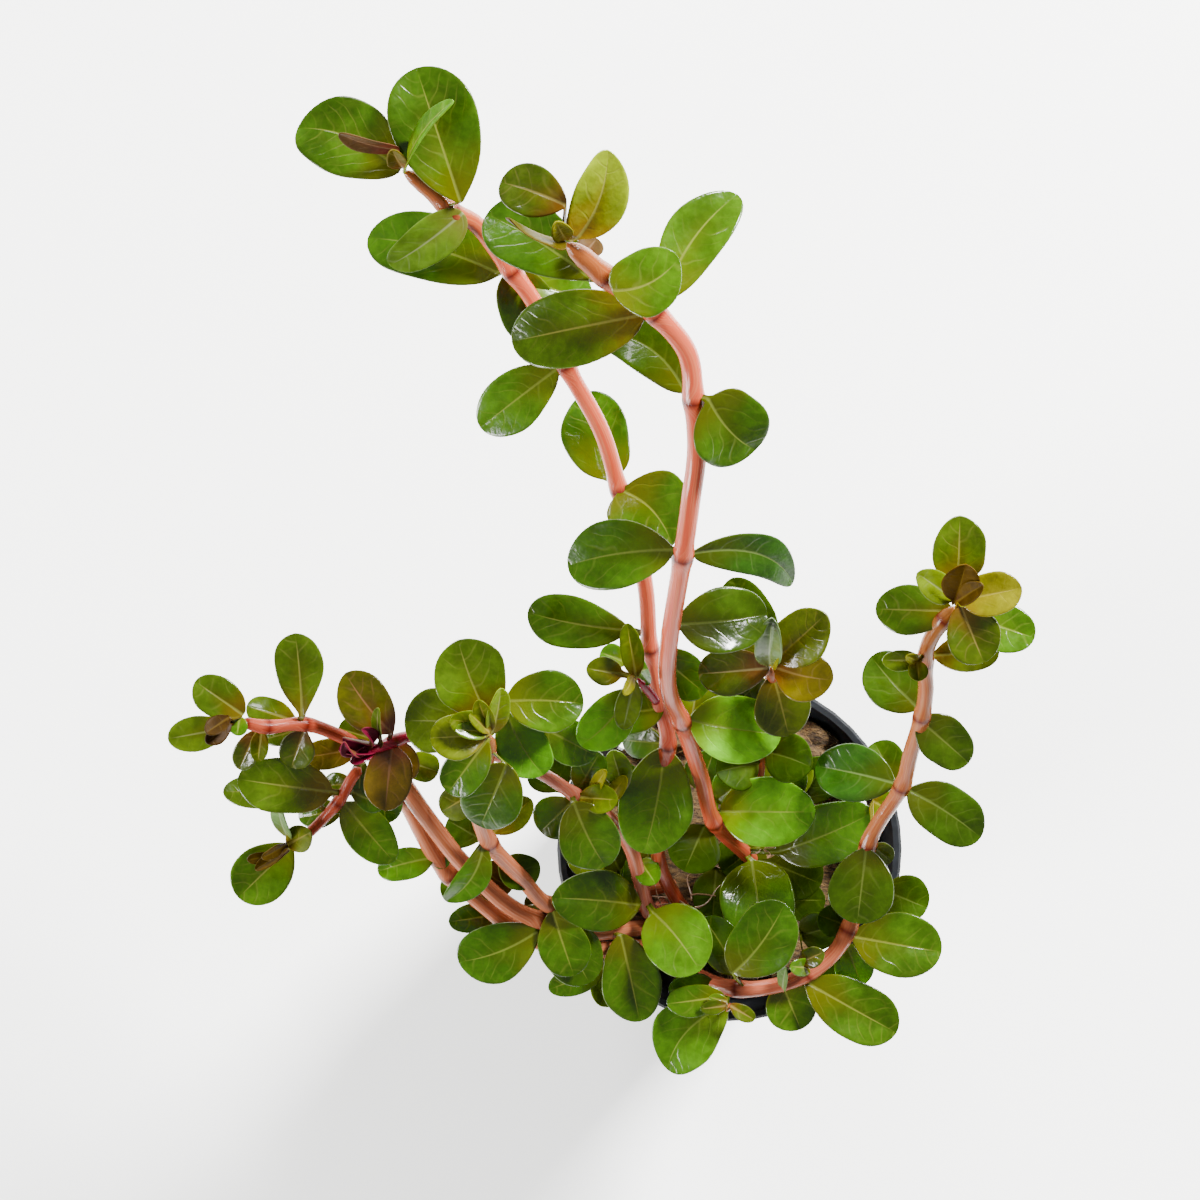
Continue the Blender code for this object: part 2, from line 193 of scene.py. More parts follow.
# ribHalf, ribTaper and wobble in mm, across and along as shares of the blade
veinMake = {"ribHalf": 0.22, "ribTaper": 0.17, "ribEnds": (1.0, 0.72), "bend": 0.17, "wobble": 7.0,
            "wobbleScale": 130.0, "sideShift": 0.22, "thin": 0.74, "fade": (0.94, 0.60),
            "patchScale": 240.0, "patchLow": 0.15, "netScale": 470.0, "netShow": 0.24}


def buildVeins():
    group, given, result = newGroup("leafVeins", ("Spacing", "Lean"), ("Midrib", "Veins", "Across", "Along"))
    where = objectSpot(group)
    reach = separate(group, uvLayer(group, "reach"))
    blade = separate(group, uvLayer(group, "blade"))
    along = blade["Y"]
    across = calc(group, "ABSOLUTE", calc(group, "SUBTRACT", times(group, blade["X"], 2.0), 1.0))
    away = calc(group, "ABSOLUTE", reach["X"])
    ribHalf = calc(group, "SUBTRACT", veinMake["ribHalf"], times(group, along, veinMake["ribTaper"]))
    midrib = ease(group, calc(group, "DIVIDE", away, ribHalf), 1.45, 0.30)
    midrib = times(group, midrib, ease(group, along, *veinMake["ribEnds"]))
    bend = times(group, times(group, away, away), veinMake["bend"])
    climb = calc(group, "ADD", times(group, away, given["Lean"]), bend)
    wobble = calc(group, "SUBTRACT", grain(group, where, veinMake["wobbleScale"], 2.0), 0.5)
    run = calc(group, "SUBTRACT", reach["Y"], climb)
    run = calc(group, "ADD", run, times(group, wobble, veinMake["wobble"]))
    run = calc(group, "DIVIDE", run, given["Spacing"])
    run = calc(group, "ADD", run, times(group, calc(group, "SIGN", reach["X"]), veinMake["sideShift"]))
    centred = calc(group, "SUBTRACT", calc(group, "FRACT", run), 0.5)
    veins = ease(group, times(group, calc(group, "ABSOLUTE", centred), 2.0), veinMake["thin"], 1.0)
    patchy = grain(group, where, veinMake["patchScale"], 1.0)
    patchy = ease(group, patchy, 0.34, 0.62, veinMake["patchLow"], 1.0)
    veins = times(group, times(group, veins, ease(group, across, *veinMake["fade"])), patchy)
    net = addNode(group, "ShaderNodeTexVoronoi", feature="DISTANCE_TO_EDGE")
    net.inputs["Scale"].default_value = veinMake["netScale"]
    group.links.new(where, net.inputs["Vector"])
    loops = times(group, ease(group, net.outputs["Distance"], 0.11, 0.02), patchy)
    veins = calc(group, "MAXIMUM", veins, times(group, loops, veinMake["netShow"]))
    for name, value in (("Midrib", midrib), ("Veins", veins), ("Across", across), ("Along", along)):
        group.links.new(value, result[name])
    return group


veinGroup = buildVeins()


# leaves
leafLook = {"veinSpacing": 2.3, "veinLean": 0.42, "veinShow": 0.23, "ribShow": 0.70, "rimAndHighlightShow": 0.30,
            "mottle": 0.40, "cloudScale": 150.0, "fineScale": 900.0, "baseShow": 0.90, "glowShow": 0.38,
            "underTint": "8a9a48", "underShow": 0.22, "bump": 0.45, "bumpDepth": 0.0006, "veinDepth": 0.11,
            "coatRough": 0.03}
leafGloss = {"wet": {"rough": 0.18, "coat": 0.14, "shine": 0.15},       # the upper side of a grown leaf
             "dull": {"rough": 0.44, "coat": 0.0, "shine": 0.03}}       # undersides and brown young leaves

# blade, base and midrib colours, as seen
tones = {
    "green": ("467004", "6e7008", "a2ac48"),
    "deep": ("456e0e", "606410", "909c44"),
    "bright": ("5a8e02", "80900a", "b0c050"),
    "lime": ("629a02", "88960c", "bcc45c"),
    "olive": ("647608", "806614", "b0a64c"),
    "olivegreen": ("5c7a12", "82661c", "aeac50"),
    "deepolive": ("567c14", "806a18", "a8a44c"),
    "darkolive": ("5a7c08", "785e18", "aca44c"),
    "brown": ("7a6c10", "8e4e20", "b49050"),
    "greybrown": ("4c5c1e", "74482a", "a09060"),
    "brownolive": ("4c600c", "784a1c", "a89450"),
    "red": ("5c5c1c", "863c2c", "a8744c"),
    "redbrown": ("6e5420", "8e4430", "ac7450"),
    "bluegreen": ("34642a", "52621f", "86a058"),
    "darkbrown": ("3c2605", "381e07", "604816"),
    "dark": ("3c5a08", "525a10", "74843a"),
    "umber": ("543e05", "4c2a08", "7c641c"),
    "pale": ("76961a", "9c8a2c", "bcc46c"),
    "grey": ("5e8238", "7a7840", "a4b078"),
    "greygreen": ("708a26", "7c7e34", "9cac68"),
    "purple": ("64482c", "743428", "8c6a4c"),
    "yellow": ("94940c", "a47e1e", "ccc050"),
    # the sheen tone is a painted sheen: a silvery grey-green reflection laid into the leaf colour
    "sheen": ("6c8a5a", "80844c", "a8b888"),
    "brightolive": ("6c7c0c", "90701e", "b8b654"),
    "maroon": ("800e34", "961438", "b43c5c"),
    "goldlime": ("c4dc0a", "c48e20", "dcd468"),
    # sunlit and vivid are greens brightened as painted light for leaves that the lamps leave in shade
    "sunlit": ("74c400", "98b40a", "b8cc58"),
    "vivid": ("8ae800", "a8d00c", "c4dc60"),
}


def leafMaterial(name, under, young=False):
    gloss = leafGloss["dull" if young or under else "wet"]
    rough = gloss["rough"]
    material, tree, shader = newMaterial(name, rough, gloss["coat"], leafLook["coatRough"], gloss["shine"])
    node = addNode(tree, "ShaderNodeGroup")
    node.node_tree = veinGroup
    node.inputs["Spacing"].default_value = leafLook["veinSpacing"]
    node.inputs["Lean"].default_value = leafLook["veinLean"]
    veins = node.outputs
    where = objectSpot(tree)
    blade, base, rib = [addNode(tree, "ShaderNodeAttribute", attribute_name=layer).outputs["Color"]
                        for layer in ("toneBlade", "toneBase", "toneRib")]
    cloudy = grain(tree, where, leafLook["cloudScale"], 4.0, 0.6)
    fine = grain(tree, where, leafLook["fineScale"], 3.0, 0.6)
    mottleFactor = ease(tree, cloudy, 0.30, 0.72, 1.0 - leafLook["mottle"], 1.0 + leafLook["mottle"])
    colour = blendColour(tree, 1.0, blade, mottleFactor, "MULTIPLY")
    colour = blendColour(tree, 1.0, colour, ease(tree, fine, 0.35, 0.7, 0.88, 1.12), "MULTIPLY")
    uneven = times(tree, calc(tree, "SUBTRACT", cloudy, 0.5), 0.5)
    reachIn = calc(tree, "ADD", veins["Along"], uneven)
    colour = blendColour(tree, ease(tree, reachIn, 0.46, 0.04, 0.0, leafLook["baseShow"]), colour, base)
    glow = times(tree, ease(tree, veins["Across"], 0.62, 0.0), ease(tree, reachIn, 0.85, 0.25))
    colour = blendColour(tree, times(tree, glow, leafLook["glowShow"]), colour, base)
    colour = blendColour(tree, times(tree, veins["Veins"], leafLook["veinShow"]), colour, rib)
    colour = blendColour(tree, times(tree, veins["Midrib"], leafLook["ribShow"]), colour, rib)
    # pale rim all round the blade: partly the margin's own paler colour, partly a painted rim highlight
    colour = blendColour(tree, ease(tree, veins["Across"], 0.95, 1.0, 0.0, leafLook["rimAndHighlightShow"]), colour, rib)
    if under:
        colour = blendColour(tree, leafLook["underShow"], colour, paint(leafLook["underTint"]))
    tree.links.new(colour, shader.inputs["Base Color"])
    tree.links.new(ease(tree, cloudy, 0.25, 0.75, rough - 0.05, rough + 0.06), shader.inputs["Roughness"])
    sunk = calc(tree, "MAXIMUM", veins["Veins"], veins["Midrib"])
    height = calc(tree, "SUBTRACT", cloudy, times(tree, sunk, leafLook["veinDepth"]))
    height = calc(tree, "ADD", height, times(tree, fine, 0.05))
    addBump(tree, shader, height, leafLook["bump"], leafLook["bumpDepth"])
    return material


leafTop = leafMaterial("leafUpperSide", False)
leafUnder = leafMaterial("leafUnderSide", True)
youngTop = leafMaterial("youngUpperSide", False, True)
youngUnder = leafMaterial("youngUnderSide", True, True)

leafMake = {"columns": 12, "rows": 13, "youngColumns": 8, "youngRows": 10, "thick": 0.34, "youngThick": 0.22,
            "stalkReach": 3.2, "sink": 0.4, "petiole": 0.42, "petioleShare": 0.3, "crowd": 1.25,
            "cupPower": 1.5, "fold": 0.09, "wave": 0.035, "wavePower": 2.2, "crinkle": 0.012,
            "groove": 0.10, "grooveHalf": 0.5, "youngLight": 1.20, "ribLessBlue": 0.03}
edgeRipples = ((0.035, 7.0), (0.025, 12.0))     # share of the half width, radians along the blade
leafUsual = (0.06, 0.5, 0, 0, 0.05)       # cup, widest, sweep, roll and arch where a row ends before them
dullTones = ("darkbrown", "dark", "umber", "purple", "brown", "olive", "yellow")
dullRoll = 25       # degrees; a young leaf rolled further shows its dull side


def routeThrough(points, step):
    knots = [place(p) for p in points]
    padded = [knots[0] * 2 - knots[1]] + knots + [knots[-1] * 2 - knots[-2]]
    route = [knots[0]]
    for i in range(1, len(padded) - 2):
        before, start, end, after = padded[i - 1:i + 3]
        steps = max(1, round(float(np.linalg.norm(end - start)) / step))
        for k in range(1, steps + 1):
            t = k / steps
            pullIn = (end - before) * 0.5
            pullOut = (after - start) * 0.5
            route.append(start * (2 * t ** 3 - 3 * t ** 2 + 1) + pullIn * (t ** 3 - 2 * t ** 2 + t)
                         + end * (3 * t ** 2 - 2 * t ** 3) + pullOut * (t ** 3 - t ** 2))
    return np.array(route)


def unit(vector):
    return vector / max(float(np.linalg.norm(vector)), 1e-9)


def gridPiece(name, columns, rows):
    bpy.ops.mesh.primitive_grid_add(x_subdivisions=columns, y_subdivisions=rows, size=2)
    piece = bpy.context.object
    piece.name = name
    piece.data.name = name
    piece.data.uv_layers[0].name = "blade"
    spots = np.empty(len(piece.data.vertices) * 3)
    piece.data.vertices.foreach_get("co", spots)
    spots = spots.reshape(-1, 3)
    column = np.rint((spots[:, 0] + 1) / 2 * columns).astype(int)
    row = np.rint((spots[:, 1] + 1) / 2 * rows).astype(int)
    return piece, column, row


def writeGrid(piece, points, bladeUv, reachUv):
    mesh = piece.data
    mesh.vertices.foreach_set("co", (points * mm).ravel())
    corner = np.empty(len(mesh.loops), dtype=int)
    mesh.loops.foreach_get("vertex_index", corner)
    mesh.uv_layers["blade"].data.foreach_set("uv", bladeUv[corner].ravel())
    mesh.uv_layers.new(name="reach").data.foreach_set("uv", reachUv[corner].ravel())
    mesh.update()


def tidyMesh(piece, outward=False):
    bpy.ops.object.mode_set(mode="EDIT")
    bpy.ops.mesh.select_all(action="SELECT")
    bpy.ops.mesh.remove_doubles(threshold=mergeGap)
    if outward:
        bpy.ops.mesh.select_all(action="SELECT")
        bpy.ops.mesh.normals_make_consistent(inside=False)
    bpy.ops.object.mode_set(mode="OBJECT")


def joinPieces(made, name):
    bpy.ops.object.select_all(action="DESELECT")
    for piece in made:
        piece.select_set(True)
    bpy.context.view_layer.objects.active = made[0]
    bpy.ops.object.join()
    made[0].name = name
    bpy.ops.object.select_all(action="DESELECT")
    return made[0]


def paintPoints(piece, name, colour):
    layer = piece.data.color_attributes.new(name=name, type="FLOAT_COLOR", domain="POINT")
    layer.data.foreach_set("color", np.tile(colour, len(piece.data.vertices)))


def applyAll(piece):
    bpy.context.view_layer.objects.active = piece
    for modifier in list(piece.modifiers):
        bpy.ops.object.modifier_apply(modifier=modifier.name)


def makeLeaf(name, row, stemRoute, seed, young=False):
    width, tone = row[6:8]
    cup, widest, sweep, roll, arch = row[8:] + leafUsual[len(row) - 8:]
    rng = random.Random(seed)
    start, end = place(row[:3]), place(row[3:6])
    length = float(np.linalg.norm(end - start))
    along = unit(end - start)
    side = unit(np.cross(along, [0, 0, 1.0]))
    up = np.cross(side, along)
    turn = math.radians(roll)
    side, up = math.cos(turn) * side + math.sin(turn) * up, math.cos(turn) * up - math.sin(turn) * side
    gaps = np.linalg.norm(stemRoute - start, axis=1)
    if gaps.min() > leafMake["stalkReach"]:        # then the nearest of all stems holds it
        stemRoute = allRoutes
        gaps = np.linalg.norm(stemRoute - start, axis=1)
    near = stemRoute[int(gaps.argmin())]
    root = start + (near - start) * max(0.0, 1.0 - leafMake["sink"] / max(gaps.min(), leafMake["sink"] + 0.01))
    phase = [rng.uniform(0, 6.28) for _ in range(4)]
    columns, rows = leafMake["youngColumns" if young else "columns"], leafMake["youngRows" if young else "rows"]
    piece, column, line = gridPiece(name, columns, rows)
    spread = np.linspace(-1, 1, columns + 1)
    spread = np.sign(spread) * np.abs(spread) ** leafMake["crowd"]
    t = np.concatenate([[0.0, 0.0], (1 - np.cos(np.pi * np.linspace(0, 1, rows - 1))) / 2])
    power = 0.5 * widest / (1 - widest)
    half = 0.5 * width * (t / widest) ** power * ((1 - t) / (1 - widest)) ** 0.5
    half = np.maximum(half, leafMake["petiole"] * np.clip(1 - t / leafMake["petioleShare"], 0, 1))
    bow = 4 * t * (1 - t)
    middle = start + np.outer(t * length, along)
    middle = middle + np.outer(bow * sweep * length, side) + np.outer(bow * arch * length, up)
    middle[0] = root
    middle[1] = root * 0.5 + start * 0.5
    v = spread[column]
    right, left = [sum(deep * np.sin(pace * t + phase[first + k]) for k, (deep, pace) in enumerate(edgeRipples))
                   for first in (0, 2)]
    h = half[line] * (1 + np.where(v < 0, left[line], right[line]))
    rise = (cup * np.abs(v) ** leafMake["cupPower"] + leafMake["fold"] * np.abs(v)) * h
    points = middle[line] + (h * v)[:, None] * side + rise[:, None] * up
    pace = rng.uniform(1.1, 1.7)
    wave = np.where(v < 0, np.sin(6.28 * pace * t[line] + phase[0]), np.sin(6.28 * pace * t[line] + phase[1]))
    wave = wave * np.abs(v) ** leafMake["wavePower"] * leafMake["wave"] * width * bow[line]
    wave += leafMake["crinkle"] * width * np.sin(9 * t[line] + phase[2]) * np.sin(4 * v + phase[3]) * bow[line]
    wave -= leafMake["groove"] * np.exp(-(v * h / leafMake["grooveHalf"]) ** 2) * np.clip(h / 2.0, 0, 1)
    points = points + wave[:, None] * up
    writeGrid(piece, points, np.stack([(v + 1) / 2, t[line]], 1), np.stack([v * h, t[line] * length], 1))
    dull = young and (tone in dullTones or abs(roll) > dullRoll)
    piece.data.materials.append(youngTop if dull else leafTop)
    piece.data.materials.append(youngUnder if dull else leafUnder)
    jitter = (leafMake["youngLight"] if young else 1.0) + rng.uniform(-0.10, 0.10)
    warmth = 1.0 + rng.uniform(-0.08, 0.08)
    for layer, text in zip(("toneBlade", "toneBase", "toneRib"), tones[tone]):
        red, green, blue, full = paint(text, jitter, leafMake["ribLessBlue"] if layer == "toneRib" else None)
        paintPoints(piece, layer, (red * warmth, green, blue, full))
    tidyMesh(piece)
    wall = piece.modifiers.new("wall", "SOLIDIFY")
    wall.thickness = leafMake["youngThick" if young else "thick"] * mm
    wall.offset = -1.0
    wall.material_offset = 1
    rounding = piece.modifiers.new("rounding", "SUBSURF")
    rounding.levels = 1
    rounding.render_levels = 1
    applyAll(piece)
    bpy.ops.object.shade_smooth()
    return piece


# rows: places of foot and tip, width mm, tone, number of its plain solid or 0, then as in leafUsual
bigLeaves = {"long_left": [
    (399, 171, 70, 297, 128, 66, 10.2, "green", 1, 0.08, 0.55, 0.1),
    (461, 203, 69, 416, 67, 71, 11.6, "green", 2, 0.1, 0.62),
    (497, 273, 60, 367, 238, 55, 9, "green", 3, 0.08, 0.52, 0.05), (510, 270, 59, 544, 342, 53, 8, "green", 4),
    (527, 283, 58, 592, 300, 55, 7.4, "lime", 0),
    (558, 368, 55, 480, 428, 50, 7.6, "bright", 5, 0.06, 0.56, 0, 0, 0.06),
    (611, 479, 44, 588, 391, 42, 9, "green", 6, 0.06, 0.48, -0.04),
    (621, 490, 49, 672, 545, 52, 11.4, "green", 7, 0.22, 0.5, -0.12, 0, 0.02),
    (630, 630, 33, 527, 612, 31, 7.4, "deep", 8, 0.06, 0.6, -0.03),
    (665, 748, 20, 644, 854, 15, 10.4, "bright", 9, 0.06, 0.52, -0.02, 0, 0.07),
], "long_right": [
    (566, 205, 92, 500, 182, 88, 6.4, "brownolive", 0, 0.06, 0.55, 0.02),
    (578, 238, 89, 608, 150, 94, 6.6, "goldlime", 0, 0.14, 0.45, 0.08, -12, 0.04),
    (591, 279, 82, 486, 214, 76, 8.8, "deep", 1, 0.1, 0.62, 0.03),
    (611, 290, 86, 679, 258, 88, 8.2, "lime", 2, 0.08, 0.48, 0.14),
    (664, 299, 79, 738, 194, 76, 7.4, "bright", 3, 0.1, 0.55, -0.08, 0, 0.04),
    (643, 315, 79, 511, 342, 73, 9.6, "darkolive", 4, 0.08, 0.5, 0, 0, 0.06),
    (684, 390, 72, 598, 333, 66, 6.8, "dark", 5, 0.08, 0.52, 0.14),
    (709, 399, 76, 756, 450, 70, 10.4, "deep", 6, 0.06, 0.46, 0.08, 0, 0.06),
    (673, 550, 61, 567, 566, 56, 9, "deep", 7, 0.08, 0.54, 0.04, 0, 0.06),
    (695, 553, 60, 793, 584, 52, 6, "bluegreen", 0, 0.04, 0.46, -0.2, -22, 0.1),
    (679, 624, 49, 768, 614, 45, 8.9, "dark", 8, 0.06, 0.5, 0.02),
    (690, 720, 30, 782, 734, 26, 9.6, "vivid", 9, 0.06, 0.5, 0.02, 0, 0.06),
    (720, 811, 8, 816, 812, 12, 10.2, "sunlit", 10, 0.05, 0.52, 0, 0, 0.06),
    (752, 861, 1, 764, 946, 5, 11, "lime", 11, 0.08, 0.48, 0, 0, 0.07),
    (777, 852, 2, 874, 812, 8, 9, "deep", 12, 0.05, 0.52, 0.02),
], "crown": [
    (776, 660, 37, 826, 614, 42, 7.4, "olive", 0, 0.1, 0.5, 0, 0, 0.04),
    (774, 667, 36, 833, 680, 38, 7, "brown", 0, 0.1, 0.52, 0.04, 0, 0.04),
    (769, 668, 35.6, 698, 674, 33, 6.6, "greybrown", 0, 0.08, 0.56),
    (773, 674, 33, 789, 736, 30, 7.8, "olive", 1, 0.08, 0.56),
], "left_upper": [
    (302, 717, 44, 295, 633, 46, 6.6, "olivegreen", 1, 0.1, 0.66, 0.02),
    (244, 715, 48, 195, 681, 49, 5.6, "olivegreen", 0, 0.08, 0.54),
], "left_lower": [
    (332, 792, 35, 237, 779, 37, 7.8, "olivegreen", 1, 0.06, 0.52, 0, 0, 0.06),
    (344, 804, 31, 394, 862, 27, 6.2, "bright", 0, 0.06, 0.48),
    (292, 845, 25, 238, 898, 25, 8, "lime", 2, 0.08, 0.58),
], "magenta": [
    (392, 733, 43, 345, 673, 45, 6.8, "red", 0, 0.06, 0.56, -0.03, 0, 0.06),
    (392, 746, 41, 385, 811, 42, 6.6, "redbrown", 0),
    (574, 803, 24.5, 606, 867, 19, 8.4, "deep", 1, 0.06, 0.5, 0.03),
    (640, 905, 4, 552, 898, 12, 8.8, "green", 2, 0.05, 0.52, 0.02, 0, 0.06),
    (653, 912, 5, 700, 971, 9, 10.3, "lime", 3, 0.06, 0.5, -0.04),
], "middle": [
    (489, 718, 48, 458, 640, 51, 9.8, "olivegreen", 1, 0.1, 0.58, -0.03),
    (478, 724, 45, 404, 721, 44, 8.8, "pale", 2, 0.1, 0.56, 0.02),
    (506, 701, 45, 584, 704, 43, 8.4, "bright", 3, 0.06, 0.52, -0.03, 0, 0.06),
    (487, 740, 46, 448, 793, 43, 6, "green", 0, 0.14, 0.56, 0, 0, 0.04),
    (507, 764, 43.5, 480, 827, 37, 8.2, "green", 4, 0.06, 0.5, 0, 0, 0.06),
    (506, 712, 41, 544, 775, 38, 7.2, "sunlit", 5, 0.06, 0.52, 0.05),
    (552, 911, 10, 574, 976, 8, 7.4, "green", 6, 0.08, 0.56),
], "left_main": [
    (538, 931, 9, 458, 962, 8, 8.6, "green", 1, 0.06, 0.56, -0.06),
    (621, 934, 4.5, 640, 1022, 2, 8.6, "green", 2, 0.05, 0.55, 0, 0, 0.08),
], "right": [
    (732, 974, 8, 785, 903, 12, 9.6, "green", 1, 0.12, 0.56, 0.05),
    (726, 1006, 3, 667, 1070, 1, 9.6, "bright", 2, 0.06, 0.56, 0.14, 0, 0.06),
    (806, 982, 5, 897, 1033, 3, 8.8, "green", 3, 0.06, 0.56),
    (852, 936, 7, 942, 952, 5, 9.4, "green", 4, 0.08, 0.55),
    (866, 848, 13, 857, 924, 12, 9.4, "dark", 5, 0.08, 0.55),
    (894, 783, 18, 815, 766, 14, 8.2, "bluegreen", 6, 0.06, 0.52, 0.02, 0, 0.06),
    (909, 790, 19, 981, 838, 16, 8, "dark", 7, 0.06, 0.52, -0.03),
    (919, 708, 31, 871, 656, 29, 7.8, "dark", 8, 0.06, 0.5, -0.03),
    (919, 719, 31, 969, 763, 28, 6.8, "dark", 0),
    (952, 611, 46.5, 875, 609, 44, 6.6, "deepolive", 0, 0.08, 0.54),
    (958, 580, 51, 960, 516, 54, 7.2, "olivegreen", 0, 0.14, 0.48, 0, 0, 0.04),
    (961, 600, 49, 1022, 588, 51, 6, "yellow", 0, 0.1, 0.5, 0, 0, 0.04),
    (959, 603, 48.6, 984, 663, 48, 7.2, "brownolive", 0, 0.1, 0.58, 0, 0, 0.04),
    (975, 618, 45, 1035, 638, 45, 6.6, "bright", 9, 0.06, 0.52, 0, 0, 0.04),
]}

